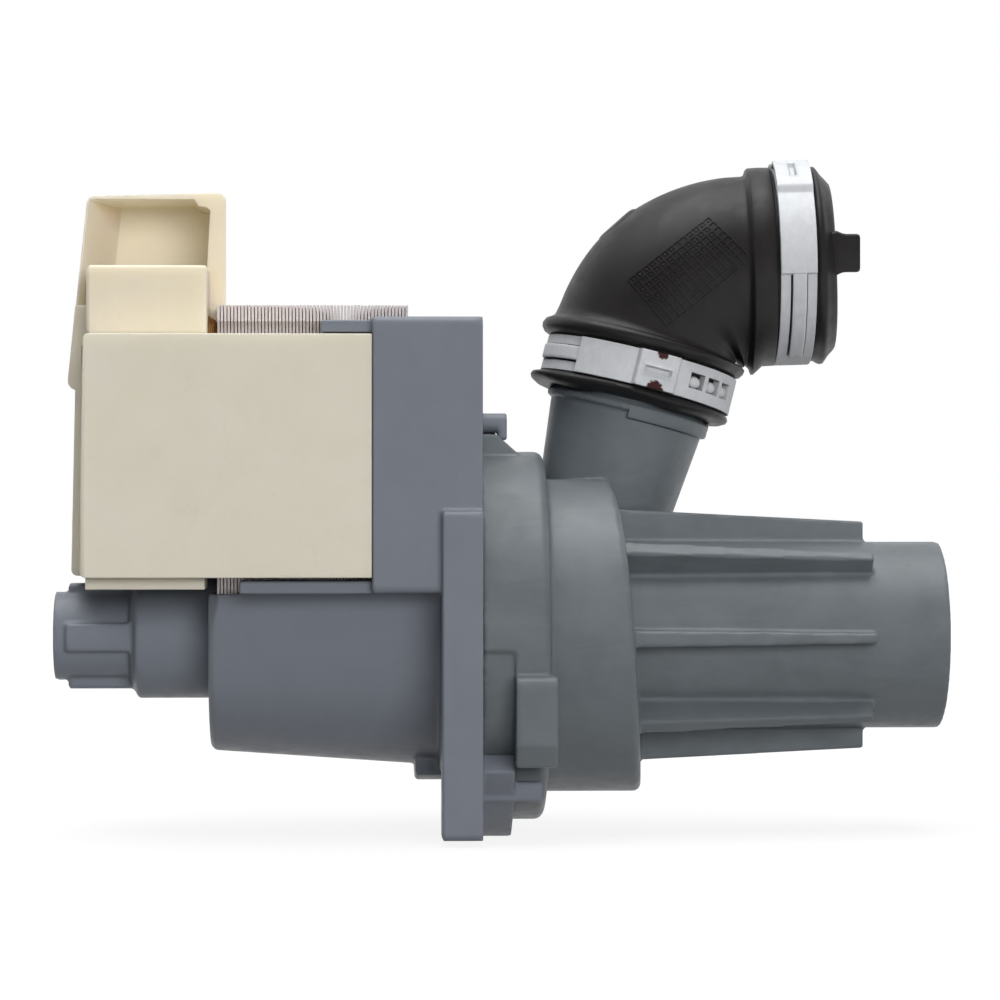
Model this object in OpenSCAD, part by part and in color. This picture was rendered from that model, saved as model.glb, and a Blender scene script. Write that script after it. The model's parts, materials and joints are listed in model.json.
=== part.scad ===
// Dishwasher circulation pump, in millimetres.
// X runs along the rotor axis, out of the suction spigot, whose end face holds the origin. Z is up.

/* [Suction tube] */
// Outer radius of the suction spigot
tube_r = 17.9; // [16:0.1:19]
// Wall of the suction tube
tube_wall = 2.5; // [2:0.1:3]
// How much wider the tube is at the bowl than at the spigot
tube_draft = 0.4; // [0.2:0.1:0.8]
// Length of the smooth spigot that takes the hose
spigot_len = 14.3; // [10:0.1:18]
// Distance from the spigot's end to the front of the volute
tube_len = 50.9; // [46:0.1:58]
// Number of ribs along the tube
rib_count = 8; // [6:1:10]
// Radius of a rib at the volute
rib_root_r = 23.8; // [22:0.1:26]
// Radius of a rib at its tip
rib_tip_r = 21.8; // [20:0.1:22]
// Thickness of a rib at the volute
rib_root_t = 3.6; // [2.5:0.1:4]
// Thickness of a rib at its tip
rib_tip_t = 1.9; // [1.5:0.1:2.4]

/* [Volute] */
// Outer radius of the helical volute
volute_r = 29.9; // [29:0.1:31]
// Rise of the volute's front face in one turn
volute_pitch = 12.7; // [10:0.1:14]
// Angle at which the volute ends, from the top towards the near side
volute_end = 340; // [330:1:345]
// Length of the volute's plain seat behind the start of its rise
volute_seat = 12.6; // [11:0.1:15]
// Rounding of the volute's outer edge
volute_round = 1.6; // [1:0.1:2]
// Wall of the casing
casing_wall = 2.5; // [2:0.1:3]

/* [Bowl] */
// Outer radius of the bowl round the impeller
bowl_r = 35.2; // [34.5:0.1:36]
// Depth of the bowl
bowl_depth = 12.6; // [12:0.1:14]
// Rounding of the bowl's front edge
bowl_round = 1.8; // [1:0.1:2.4]

/* [Outlet pipe] */
// Lean of the outlet pipe from upright, towards the suction side
outlet_lean = 14; // [10:0.5:18]
// Offset of the outlet pipe to the far side
outlet_y = 16; // [15:0.1:17]
// Distance of the outlet collar's centre behind the spigot's end
outlet_back = 58.8; // [57:0.1:61]
// Height of the outlet collar's centre
outlet_z = 42.2; // [41:0.1:46]
// Outer radius of the outlet pipe at and above the collar
outlet_r = 15.2; // [14.6:0.1:15.6]
// Half angle of the outlet pipe's cone
outlet_taper = 6.2; // [4:0.1:7]
// Wall of the outlet pipe
outlet_wall = 2.5; // [2:0.1:3]
// Length of pipe above the collar, inside the hose
outlet_plug = 13; // [11:0.1:13.4]
// How far the collar stands out of the pipe
collar_out = 1; // [0.6:0.1:1.4]
// Thickness of the collar
collar_t = 1.4; // [1:0.1:1.6]
// Thickness of the collar's raised part
collar_tall = 2.3; // [2:0.1:2.6]

/* [Elbow hose] */
// Distance from the collar's centre to the hose's lower edge
hose_start = 2.5; // [2.4:0.1:3]
// Length of the lower cuff with its two lips
cuff_len = 12.1; // [11.9:0.1:14]
// Outer radius of a cuff between its lips
cuff_r = 18.2; // [17.9:0.1:19]
// Outer radius of a lip
lip_r = 19.9; // [19.3:0.1:21]
// Thickness of a lip
lip_t = 2; // [1.6:0.1:2.2]
// Radius of the hose's bend, at its centre line
bend_r = 20.6; // [20.4:0.1:24]
// Outer radius of the hose in the bend
hose_r = 18; // [17.6:0.1:18.2]
// Wall of the hose in the bend
hose_wall = 3.2; // [2.4:0.1:3.4]
// Length of the free cuff
free_cuff_len = 16.3; // [16:0.1:20]
// Bore radius of the free cuff
free_bore_r = 15.3; // [14.8:0.1:15.6]
// Width of the nub that turns the hose the right way round
nub_w = 7.4; // [6:0.1:9]
// Length of the nub in front of the rim
nub_len = 4.2; // [3:0.1:6]

/* [Band clamps] */
// Width of a clamp's band
band_w = 7; // [6:0.1:7]
// Thickness of a clamp's band
band_t = 0.8; // [0.6:0.1:0.9]
// Height of the clamp's ear over the band
ear_h = 2.2; // [1.6:0.1:2.6]
// Length of the clamp's ear round the hose
ear_len = 9; // [8:0.1:12]

/* [Flange plate] */
// Radius of the flange disc
flange_r = 37; // [36.5:0.1:38.5]
// Distance of the rails' outer faces from the middle
flange_half_w = 35.6; // [35:0.1:38]
// Distance of the near rail's foot below the rotor axis
flange_foot = 36.4; // [35.5:0.1:42]
// Height of the rails' tops above the rotor axis
flange_top = 24; // [22:0.1:28]
// Thickness of the rails
flange_t = 7.5; // [7.4:0.1:10]
// How much thinner the disc is than the rails
disc_step = 1.4; // [1:0.1:2]
// Width of a rail across
rail_w = 8.6; // [6:0.1:10]
// Width of the ring that enters the bowl, behind its seal
register_w = 1.3; // [1.2:0.1:1.5]
// Length of the ring that enters the bowl
register_len = 3; // [2.8:0.1:3.4]

/* [Coil frame] */
// Length of the coil frame
frame_len = 20.3; // [19:0.1:24]
// Half the width of the coil frame
frame_half_w = 33.6; // [33:0.1:35]
// Height of the coil frame's lower edge
frame_z0 = 8.8; // [8.4:0.1:9.4]
// Height of the coil frame's upper edge
frame_z1 = 59.6; // [59:0.1:61]
// Wall of the coil frame
frame_wall = 1.8; // [1.5:0.1:2]

/* [Pole cup] */
// Radius of the cup round the pole shoes at its closed end
cup_r0 = 21.8; // [21.5:0.1:23]
// Radius of the cup at the flange plate
cup_r1 = 24.8; // [24:0.1:26]
// Wall of the cup
cup_wall = 1.6; // [1.2:0.1:1.7]
// Thickness of the cup's closed end
cup_end_t = 1.3; // [1.2:0.1:2]

/* [Magnetic core] */
// Length of the stack of sheets
core_len = 35.7; // [34:0.1:37]
// Gap between the flange plate and the stack
core_gap = 5.9; // [5.7:0.1:7]
// Distance of a leg's outer face from the middle
core_half_w = 19.6; // [19:0.1:19.7]
// Width of a leg
leg_w = 11.4; // [10.8:0.1:11.6]
// Height of the core's top
core_top = 62.3; // [61.5:0.1:64]
// Height of the yoke across the legs
yoke_h = 12; // [10:0.1:12.4]
// Bore radius of the pole shoes
pole_bore_r = 12.2; // [12.2:0.05:12.5]
// Gap between the pole shoes below the rotor
pole_gap = 2.4; // [2:0.1:4]

/* [Coils] */
// Wall of a bobbin
bobbin_wall = 1; // [0.8:0.1:1.1]
// Depth of a winding
winding_d = 4; // [3.4:0.1:4.1]

/* [Coil covers] */
// Distance of a cover's outer face from the middle
cover_half_w = 33.4; // [33:0.1:33.5]
// Length of a cover in front of the coil frame
cover_len = 53; // [51:0.1:56]
// Height of a cover's lower edge
cover_z0 = 11.7; // [11.6:0.1:12.3]
// Height of a cover's upper edge
cover_z1 = 56.4; // [56:0.1:57]
// Wall of a cover
cover_wall = 1.5; // [1.2:0.1:1.8]
// Rounding of a cover's edges
cover_round = 1; // [0.6:0.1:1.1]
// How much longer the covers are at their lower edge than at their upper edge
cover_lean = 0.6; // [0:0.1:1]

/* [Connector] */
// Height of the plug housing's top
shroud_top = 84.1; // [80:0.1:86]
// Length of the plug housing along X
shroud_len = 26.3; // [25:0.1:27]
// Depth of the plug housing along Y
shroud_depth = 17.2; // [15:0.1:22]
// Wall of the plug housing
shroud_wall = 1.5; // [1.2:0.1:1.8]
// Height of the terminal block's top
block_top = 69.4; // [67:0.1:71]
// Length of the terminal block
block_len = 22.3; // [20:0.1:22.6]
// Width of a terminal blade
blade_w = 4.8; // [4:0.1:5.4]
// Thickness of a terminal blade
blade_t = 0.8; // [0.6:0.1:1]
// Distance between terminal blades
blade_pitch = 6.4; // [6:0.1:7]

/* [Rotor can] */
// Outer radius of the rotor can
can_r = 11.9; // [11.8:0.05:11.9]
// Wall of the rotor can
can_wall = 1.2; // [1:0.05:1.3]
// Length of the can behind the pole cup, up to its shoulder
can_tail_len = 15.3; // [14:0.1:18]
// Outer radius of the boss that holds the rear bearing
boss_r = 8.4; // [8.2:0.1:9]
// Length of that boss
boss_len = 14.4; // [13:0.1:17]
// Outer radius of the boss's ribs
boss_rib_r = 10.1; // [9.6:0.1:10.8]
// Width of the boss's ribs
boss_rib_w = 5.3; // [4:0.1:6]
// Radius of the can's front flange
can_flange_r = 19.8; // [19:0.1:20]

/* [Rotor] */
// Radius of the shaft
shaft_r = 2.5; // [2:0.05:2.8]
// Radius of the rotor magnet
magnet_r = 9.8; // [9.4:0.05:10]
// Radius of the hub inside the magnet
magnet_hub_r = 5; // [4.6:0.1:5.6]
// Gap between the impeller and the ring round it
impeller_gap = 1.2; // [0.8:0.1:2.4]
// Number of vanes
vane_count = 7; // [5:1:8]
// Thickness of a vane
vane_t = 1.5; // [1.2:0.1:1.8]
// Radius of a vane's curve
vane_curve = 21; // [19:0.5:24]
// Height of the vanes between the two plates
vane_h = 4.4; // [4:0.1:4.6]
// Thickness of the impeller's plates
plate_t = 1.3; // [1.2:0.1:1.5]
// Radius of the impeller's hub
hub_r = 5.8; // [5.4:0.1:6.4]

/* [Bearings] */
// Outer radius of a bearing bush
bush_r = 4.8; // [4.6:0.1:5]
// Length of a bearing bush
bush_len = 9; // [8:0.1:9.4]
// Wall of a rubber bearing holder
holder_wall = 2; // [1.8:0.1:2.2]
// Thickness of the bearing plate
bearing_plate_t = 2.5; // [2:0.1:2.6]
// Thickness of a thrust washer
washer_t = 0.7; // [0.5:0.1:0.8]

/* [Clearances] */
// Gap between static pieces that nest
nest_gap = 0.3; // [0.2:0.05:0.35]
// Radial gap of the shaft in its bushes
run_gap = 0.05; // [0.02:0.01:0.08]
// Radial gap between pieces that are pressed together
press_gap = 0.02; // [0.01:0.01:0.03]
// Gap between the rotor and what it passes
rotor_gap = 0.5; // [0.4:0.05:0.6]

/* [Hidden] */

$fn = 72;
eps = 0.05;

// Colours as the photograph shows them
casing_grey = [0.42, 0.46, 0.48];
motor_grey = [0.44, 0.48, 0.53];
cream = [0.83, 0.79, 0.70];
cream_light = [0.86, 0.82, 0.71];
rubber_black = [0.14, 0.13, 0.13];
band_steel = [0.72, 0.74, 0.75];
sheet_steel = [0.66, 0.63, 0.64];
copper = [0.58, 0.44, 0.26];
graphite = [0.25, 0.25, 0.27];

// Stations along the rotor axis, from the spigot's end backwards
x_rib_tip = -spigot_len;
x_volute_start = -tube_len - volute_pitch;
x_bowl_front = x_volute_start - volute_seat;
x_joint = x_bowl_front - bowl_depth;
x_flange_back = x_joint - flange_t;
x_core_front = x_flange_back - core_gap;
x_core_back = x_core_front - core_len;
x_cup_back = x_core_back - nest_gap - cup_end_t;
x_can_shoulder = x_cup_back - can_tail_len;
x_can_end = x_can_shoulder - boss_len;
x_frame_back = x_joint - frame_len;
x_cover_front = x_frame_back - eps;
x_cover_back = x_cover_front - cover_len;
x_core_mid = x_core_front - core_len / 2;

tube_bore_r = tube_r - tube_wall;
bowl_in_r = bowl_r - casing_wall;
volute_in_r = volute_r - casing_wall;
x_bowl_in = x_bowl_front - casing_wall;

// Stack of the plates behind the impeller, from the flange plate's back to its front
seat_t = 2.1;
can_flange_t = 1.7;
gasket_t = 1;
x_can_flange = x_flange_back + seat_t;
x_gasket = x_can_flange + can_flange_t;
x_bearing_plate = x_gasket + gasket_t;
x_plate_front = x_bearing_plate + bearing_plate_t;
gasket_bore_r = 14;
holder_r = bush_r + holder_wall;
holder_lip = 0.9;
bearing_hub_r = holder_r + 1.9;
bearing_hub_end_t = 1.2;
x_bearing_hub = x_plate_front - bush_len - bearing_hub_end_t - nest_gap;
x_front_bush = x_plate_front - bush_len;
can_in_r = can_r - can_wall;

// Rear bearing in the can's boss
boss_wall = boss_r - holder_r - press_gap;
boss_bore_r = boss_r - boss_wall;
boss_end_t = 2;
x_rear_bush_front = x_can_shoulder - 0.6;
x_rear_bush = x_rear_bush_front - bush_len;

// Ring that enters the bowl, with the seal in its groove
seal_gap = 2;
seal_r = seal_gap / 2 - press_gap;
seal_ring_r = bowl_in_r - seal_gap / 2;
x_seal = x_joint + 1.5;
register_in_r = bowl_in_r - seal_gap - register_w;

// Rotor
impeller_r = register_in_r - impeller_gap;
sleeve_flange_t = 1.5;
x_front_washer = x_bearing_hub - nest_gap - washer_t;
x_sleeve_front = x_front_washer;
x_rear_washer = x_rear_bush_front + nest_gap;
x_sleeve_back = x_rear_washer + washer_t;
x_magnet_back = x_core_back;
x_magnet_front = x_core_front;
x_impeller_hub = x_plate_front + rotor_gap;
x_back_plate = x_impeller_hub + 0.9;
x_vanes = x_back_plate + plate_t;
x_front_plate = x_vanes + vane_h;
x_hub_front = x_front_plate - 0.4;
x_shaft_front = x_hub_front + 5;
x_shaft_back = x_rear_bush + 0.4;
eye_r = tube_bore_r - rotor_gap - 1.9;
neck_len = 2.6;
shaft_hole_r = shaft_r + press_gap;
bush_bore_r = shaft_r + run_gap;

// Outlet pipe and hose, in the plane y = outlet_y
outlet_dir = [sin(outlet_lean), 0, cos(outlet_lean)];
outlet_foot = outlet_z / cos(outlet_lean) + 1;
hose_bore_r = outlet_r + press_gap;
bend_start = hose_start + cuff_len;
bend_sweep = 90 - outlet_lean;
bend_x = -outlet_back + bend_start * sin(outlet_lean) + bend_r * cos(outlet_lean);
bend_z = outlet_z + bend_start * cos(outlet_lean) - bend_r * sin(outlet_lean);
free_axis_z = bend_z + bend_r;
hose_in_r = hose_r - hose_wall;
band_in_r = cuff_r + press_gap;
lower_band_at = hose_start + lip_t + (cuff_len - 2 * lip_t) / 2;
rim_len = 1.3;
nub_up = 1.6;
free_ridge_t = 1.4;
free_lip_t = 2.5;
upper_band_at = free_cuff_len - rim_len - free_lip_t - band_w / 2 - nest_gap;

// Coils
leg_y = core_half_w - leg_w / 2;
bobbin_half_x = core_len / 2 + nest_gap + bobbin_wall;
bobbin_half_y = leg_w / 2 + nest_gap + bobbin_wall;
bobbin_z0 = cover_z0 + cover_wall + nest_gap;
yoke_z = core_top - yoke_h;
bobbin_z1 = yoke_z - nest_gap;
bobbin_flange_t = 1.2;
bobbin_lip = 0.4;
winding_z0 = bobbin_z0 + bobbin_flange_t;
winding_z1 = bobbin_z1 - bobbin_flange_t;
cover_in = cover_half_w - cover_wall;

// Connector
split_y = -12;
x_shroud_front = x_core_back + 1.35;
x_shroud_back = x_shroud_front - shroud_len;
shroud_draft = 2.7;
shroud_slope = 0.6;
wall_draft = 0.7;
shroud_y0 = -8;
shroud_y1 = shroud_y0 + shroud_depth;
shroud_z0 = cover_z1 + nest_gap;
block_y0 = -24;
block_y1 = shroud_y0 - nest_gap;
x_block_front = x_core_back - 1.7;
x_rear_cover = x_cover_back - 2.85;

// Puts a piece modelled along Z onto the rotor axis: its angle 0 is up and 90 is the near side
module axial(x = 0) {
    translate([x, 0, 0]) rotate([0, 90, 0]) rotate([0, 0, 180]) children();
}

// A ring or tube on the rotor axis, from x0 to x1
module ring(x0, x1, r_out, r_in) {
    axial(x0) difference() {
        cylinder(r = r_out, h = x1 - x0);
        translate([0, 0, -1]) cylinder(r = r_in, h = x1 - x0 + 2);
    }
}

// A round bar on the rotor axis, from x0 to x1
module bar(x0, x1, r) {
    axial(x0) cylinder(r = r, h = x1 - x0);
}

// A box given by its two corners
module box(a, b) {
    translate(a) cube([b[0] - a[0], b[1] - a[1], b[2] - a[2]]);
}

// A plate outline on the YZ plane, from x0 to x1, with 2D x as Y and 2D y as Z
module across(x0, x1) {
    translate([x0, 0, 0]) rotate([90, 0, 90]) linear_extrude(x1 - x0) children();
}

// A side outline on the XZ plane, from y0 to y1
module side(y0, y1) {
    translate([0, y1, 0]) rotate([90, 0, 0]) linear_extrude(y1 - y0) children();
}

// A plan outline on the XY plane, from z0 to z1
module plan(z0, z1) {
    translate([0, 0, z0]) linear_extrude(z1 - z0) children();
}

// A rectangle with rounded corners, given by its two corners
module rounded(a, b, r) {
    translate([a[0] + r, a[1]]) square([b[0] - a[0] - 2 * r, b[1] - a[1]]);
    translate([a[0], a[1] + r]) square([b[0] - a[0], b[1] - a[1] - 2 * r]);
    for (x = [a[0] + r, b[0] - r], y = [a[1] + r, b[1] - r]) translate([x, y]) circle(r);
}

// The space in front of the rising volute face: a section swept one turn round the axis, flat up to
// the top and climbing from there, with a step where the volute ends
volute_steps = 28;
volute_reach = 12;
volute_end_wall = 8;
x_space_end = 8 - tube_len;

function climb(a) = x_volute_start + volute_pitch * max(a, 0) / 360;

function volute_edge(r, round) = let (grow = 1 / cos(180 / volute_steps)) concat([[tube_r - 1.5, 0]],
    round > 0 ? [for (a = [0:22.5:90]) [grow * (r - round + round * sin(a)), round * (cos(a) - 1)]] : [],
    [[r + volute_reach, -round]]);

module climbing_space(r, round, lift, stop) {
    edge = volute_edge(r, round);
    m = len(edge);
    n = m + 2;
    angles = concat([stop - 360, stop / 2 - 180], [for (i = [0:volute_steps]) stop * i / volute_steps]);
    last = len(angles) - 1;
    points = [for (i = [0:last]) let (a = angles[i]) each concat(
        [for (p = edge) [climb(a) + lift + p[1], -p[0] * sin(a), p[0] * cos(a)]],
        [for (p = i < last ? [r + volute_reach, tube_r - 1.5] : []) [x_space_end, -p * sin(a), p * cos(a)]])];
    walls = [for (i = [0:last - 1], k = [0:n - 1]) let (k1 = (k + 1) % n,
        p = i * n + k, p1 = i * n + k1,
        q = i + 1 < last || k < m ? p + n : k, q1 = i + 1 < last || k1 < m ? p1 + n : k1,
        h = last * n + (k == n - 1 ? 0 : m - 1))
        each i == 0 && (k == n - 1 || k == m - 1) ?
            [[p, h, q], [h, p1, q1], [h, q1, q]] : [[p, p1, q1], [p, q1, q]]];
    step = [for (k = [0:m - 2]) let (h = last * n + k) each [[h, h + 1, k + 1], [h, k + 1, k]]];
    polyhedron(points, concat(walls, step), convexity = 6);
}

// A sector of a disc, under half a turn wide
module pie(a0, a1, r, h) {
    mid = (a0 + a1) / 2;
    reach = r / cos((a1 - a0) / 2);
    linear_extrude(h) polygon([[0, 0], reach * [cos(a0), sin(a0)],
        1.2 * reach * [cos(mid), sin(mid)], reach * [cos(a1), sin(a1)]]);
}

// Moves a piece modelled along Z onto the outlet pipe's axis, at a distance from the collar
module outlet(at = 0) {
    translate([-outlet_back, outlet_y, outlet_z] + at * outlet_dir) rotate([0, outlet_lean, 0]) children();
}

module outlet_outside() {
    foot_r = outlet_r - outlet_foot * tan(outlet_taper);
    outlet(-outlet_foot) cylinder(r1 = foot_r, r2 = outlet_r, h = outlet_foot);
    outlet(-eps) difference() {
        cylinder(r = outlet_r, h = outlet_plug);
        translate([0, 0, outlet_plug]) rotate_extrude() translate([outlet_r, 0]) rotate(45) square(1, center = true);
    }
    outlet(hose_start - nest_gap - collar_t) cylinder(r = outlet_r + collar_out, h = collar_t);
    outlet(hose_start - nest_gap - collar_tall) intersection() {
        cylinder(r = outlet_r + collar_out, h = collar_tall);
        pie(-90, 50, outlet_r + 2, collar_tall);
    }
}

module outlet_inside() {
    foot_r = outlet_r - outlet_wall - outlet_foot * tan(outlet_taper);
    outlet(-outlet_foot + outlet_wall) cylinder(r1 = foot_r, r2 = outlet_r - outlet_wall, h = outlet_foot - outlet_wall);
    outlet(-eps) cylinder(r = outlet_r - outlet_wall, h = outlet_plug + 1);
}

// Suction tube: the straight spigot, and behind it the drafted length that carries the ribs
module tube_outside() {
    root = x_bowl_in - 1;
    bar(-spigot_len, 0, tube_r);
    axial(root) cylinder(r1 = tube_r + tube_draft, r2 = tube_r, h = -spigot_len - root);
}

// Long ribs that stiffen the suction tube, tapered in height and thickness
module tube_ribs() {
    root = x_bowl_front + 2;
    intersection() {
        axial(root) cylinder(r1 = rib_root_r + 1, r2 = rib_tip_r, h = x_rib_tip - root);
        for (i = [0:rib_count - 1]) rotate([i * 360 / rib_count, 0, 0]) plan(tube_r - 1, rib_root_r + 2)
            polygon([[root, -rib_root_t / 2], [x_rib_tip, -rib_tip_t / 2],
                     [x_rib_tip, rib_tip_t / 2], [root, rib_root_t / 2]]);
    }
}

// Bayonet: two blocks on the bowl that lie in front of the recess where the flange's lugs slide
bayonet_turns = [0, 180];
recess_d = 0.8;
recess_len = 6;
recess_from = 93;
recess_to = 160;
clip_len = 7.6;
clip_out = 2.7;
clip_top = -6.3;
clip_low = -23;

module casing_clip() {
    y = -bowl_r - clip_out;
    across(x_joint + recess_len, x_joint + recess_len + clip_len) polygon([[5 - bowl_r, clip_top],
        [y + 1.6, clip_top], [y + 0.5, clip_top - 0.5], [y, clip_top - 1.6], [y, clip_low + 4.1],
        [y + 2.1, clip_low], [5 - bowl_r, clip_low]]);
}

module lug_recess() {
    axial(x_joint - 1) difference() {
        intersection() {
            cylinder(r = bowl_r + 1, h = recess_len + 1);
            pie(recess_from, recess_to, bowl_r + 2, recess_len + 1);
        }
        translate([0, 0, -1]) cylinder(r = bowl_r - recess_d, h = recess_len + 3);
    }
}

// Ramp on top of the bowl in front of the flange's hook, and a stop behind the hook
ramp_h = 3.2;
ramp_flat = 3.6;
ramp_len = 7.8;
stop_up = 4.4;

module top_ramp() {
    far = latch_y + latch_r + nest_gap;
    near = latch_y - latch_r - nest_gap;
    side(near - 3.3, near) polygon([[x_joint, bowl_r - 2], [x_joint, bowl_r + ramp_h],
        [x_joint + ramp_flat, bowl_r + ramp_h], [x_joint + ramp_len, bowl_r - 0.5], [x_joint + ramp_len, bowl_r - 2]]);
    side(far, far + 6) polygon([[x_joint, bowl_r - 2], [x_joint, bowl_r + stop_up],
        [x_joint + ramp_flat, bowl_r + stop_up], [x_joint + ramp_flat + 0.8, bowl_r - 2]]);
}

module bowl_and_volute() {
    axial(x_joint) rotate_extrude() {
        square([bowl_r - bowl_round, bowl_depth]);
        square([bowl_r, bowl_depth - bowl_round]);
        translate([bowl_r - bowl_round, bowl_depth - bowl_round]) circle(bowl_round);
    }
    difference() {
        bar(x_bowl_front - 1, -tube_len, volute_r);
        climbing_space(volute_r, volute_round, 0, volute_end);
    }
}

module pump_casing() {
    color(casing_grey) difference() {
        union() {
            bowl_and_volute();
            difference() {
                outlet_outside();
                bar(x_joint - 5, x_joint, bowl_r + 5);
            }
            tube_outside();
            tube_ribs();
            for (turn = bayonet_turns) rotate([turn, 0, 0]) casing_clip();
            top_ramp();
        }
        for (turn = bayonet_turns) rotate([turn, 0, 0]) lug_recess();
        difference() {
            union() {
                difference() {
                    bar(x_bowl_in - eps, -tube_len, volute_in_r);
                    climbing_space(volute_in_r, 0, -casing_wall, volute_end - volute_end_wall);
                }
                outlet_inside();
            }
            tube_outside();
        }
        bar(x_joint - 1, x_bowl_in, bowl_in_r);
        bar(x_joint, 1, tube_bore_r);
    }
}

// Ring that seals the bowl, in the groove of the flange's register ring
module casing_seal() {
    color(rubber_black) axial(x_seal) rotate_extrude() translate([seal_ring_r, 0]) circle(seal_r);
}

// Flange: a disc behind the bowl, with a long rail on the near side and a short one on the far side
module flange_plate() {
    w = flange_half_w;
    intersection() {
        bar(x_flange_back + disc_step, x_joint, flange_r);
        box([x_flange_back, -w, -flange_r - 1], [x_joint, flange_r + 1, flange_r + 1]);
    }
    across(x_flange_back, x_joint) {
        rounded([-w, -flange_foot], [rail_w - w, flange_top], 1.2);
        rounded([w - rail_w, -flange_top], [w, flange_top], 1.2);
        translate([-w + 1, -cup_r1]) square([2 * w - 2, cup_r1 + flange_top]);
    }
}

// Lugs that slide in the bowl's recesses, each with a finger that stops behind the casing's block
lug_angle = 143.5;
lug_span = 33;
lug_out = 4.7;
lug_len = 6;
stop_h = 3.6;
stop_t = 2.6;
stop_len = 5.2;

module flange_lug() {
    r0 = bowl_r - recess_d + nest_gap;
    r1 = bowl_r + lug_out;
    axial(x_joint - 1) rotate(lug_angle) {
        intersection() {
            difference() {
                cylinder(r = r1, h = lug_len + 1);
                translate([0, 0, -1]) cylinder(r = r0, h = lug_len + 3);
            }
            pie(-lug_span / 2, lug_span / 2, r1 + 1, lug_len + 1);
        }
    }
    stop_at = [-r1 * sin(lug_angle - 9) + 0.6, r1 * cos(lug_angle - 9)];
    box([x_joint - 1, stop_at[0], stop_at[1] - stop_h / 2],
        [x_joint + lug_len + stop_len, stop_at[0] + stop_t, stop_at[1] + stop_h / 2]);
}

module register_ring() {
    r = bowl_in_r - nest_gap;
    x1 = x_joint + register_len;
    axial(x_joint - 1) difference() {
        cylinder(r = r, h = register_len + 1);
        translate([0, 0, -1]) cylinder(r = register_in_r, h = register_len + 3);
        translate([0, 0, x_seal - x_joint + 1 - seal_r - press_gap]) difference() {
            cylinder(r = r + 1, h = 2 * seal_r + 2 * press_gap);
            translate([0, 0, -1]) cylinder(r = bowl_in_r - seal_gap, h = 4);
        }
    }
}

// Cup round the pole shoes: a half cone below the axis, straight drafted sides above it
module cup_shape(inset, x0, x1, top) {
    length = x_flange_back - x_cup_back;
    grow = (cup_r1 - cup_r0) / length;
    ra = cup_r0 - inset + grow * (x0 - x_cup_back);
    rb = cup_r0 - inset + grow * (x1 - x_cup_back);
    intersection() {
        axial(x0) cylinder(r1 = ra, r2 = rb, h = x1 - x0);
        box([x0 - 1, -40, -40], [x1 + 1, 40, 0]);
    }
    plan(-eps, top) polygon([[x0, -ra], [x1, -rb], [x1, rb], [x0, ra]]);
}

cup_bevel = 1.6;

module pole_cup() {
    difference() {
        intersection() {
            cup_shape(0, x_cup_back, x_flange_back + 1, frame_z0 - nest_gap);
            axial(x_cup_back) union() {
                cylinder(r1 = cup_r0 - cup_bevel / 2, r2 = cup_r0 + cup_bevel / 2, h = cup_bevel);
                translate([0, 0, cup_bevel]) cylinder(r = cup_r1 + 4, h = x_flange_back - x_cup_back);
            }
        }
        cup_shape(cup_wall, x_cup_back + cup_end_t, x_flange_back, frame_z0 + 1);
    }
}

// Coil frame: a shallow open box that holds the right-hand ends of both coils
module coil_frame() {
    w = frame_half_w;
    x_in = x_flange_back + 0.1;
    notch = core_half_w + 2 * nest_gap;
    x_notch = x_core_front + nest_gap;
    round = 1.4;
    difference() {
        across(x_frame_back, x_joint) rounded([-w, frame_z0], [w, frame_z1], round);
        box([x_frame_back - 1, -w + frame_wall, frame_z0 + frame_wall],
            [x_in, w - frame_wall, frame_z1 - frame_wall]);
        box([x_frame_back - 1, -w + frame_wall, flange_top + 2],
            [x_joint - frame_wall, w - frame_wall, frame_z1 - frame_wall]);
        box([x_frame_back - 1, -notch, frame_z0 - 1], [x_notch, notch, frame_z1 + 1]);
    }
    frame_fingers();
}

// Fingers that reach back from the coil frame and hold the covers above and below
finger_top_len = 9.4;
finger_low_len = 24.4;
finger_t = 2.3;

module frame_fingers() {
    w = frame_half_w - 2;
    notch = core_half_w + 2 * nest_gap;
    for (s = [-1, 1]) {
        y0 = s > 0 ? notch : -w;
        y1 = s > 0 ? w : -notch;
        box([x_frame_back - finger_top_len, y0, cover_z1 + nest_gap],
            [x_frame_back + 1, y1, cover_z1 + nest_gap + finger_t]);
        box([x_frame_back - finger_low_len, y0, frame_z0],
            [x_frame_back + 1, y1, frame_z0 + finger_t]);
    }
}

// Round bar over the bowl with a hook at its end
latch_y = -2;
latch_r = 1.85;
latch_up = 5.5;
latch_len = 5.7;
hook_t = 1.7;
hook_drop = 3.3;

module top_latch() {
    z = bowl_r + latch_up;
    x1 = x_joint + latch_len;
    translate([0, latch_y, z]) bar(x_joint - 1, x1, latch_r);
    box([x1 - hook_t, latch_y - latch_r, z - hook_drop], [x1, latch_y + latch_r, z]);
}

module motor_housing() {
    color(motor_grey) difference() {
        union() {
            flange_plate();
            coil_frame();
            pole_cup();
            register_ring();
            for (turn = bayonet_turns) rotate([turn, 0, 0]) flange_lug();
            top_latch();
            across(x_flange_back - 4.4, x_flange_back + 1) intersection() {
                circle(cup_r1 + 2.8);
                translate([-9, -40]) square([18, 30]);
            }
        }
        cup_shape(cup_wall, x_cup_back + cup_end_t, x_flange_back, cup_r0 / 2);
        bar(x_can_flange, x_joint + 1, can_flange_r + nest_gap);
        bar(x_cup_back - 1, x_joint, pole_bore_r);
    }
}

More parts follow.
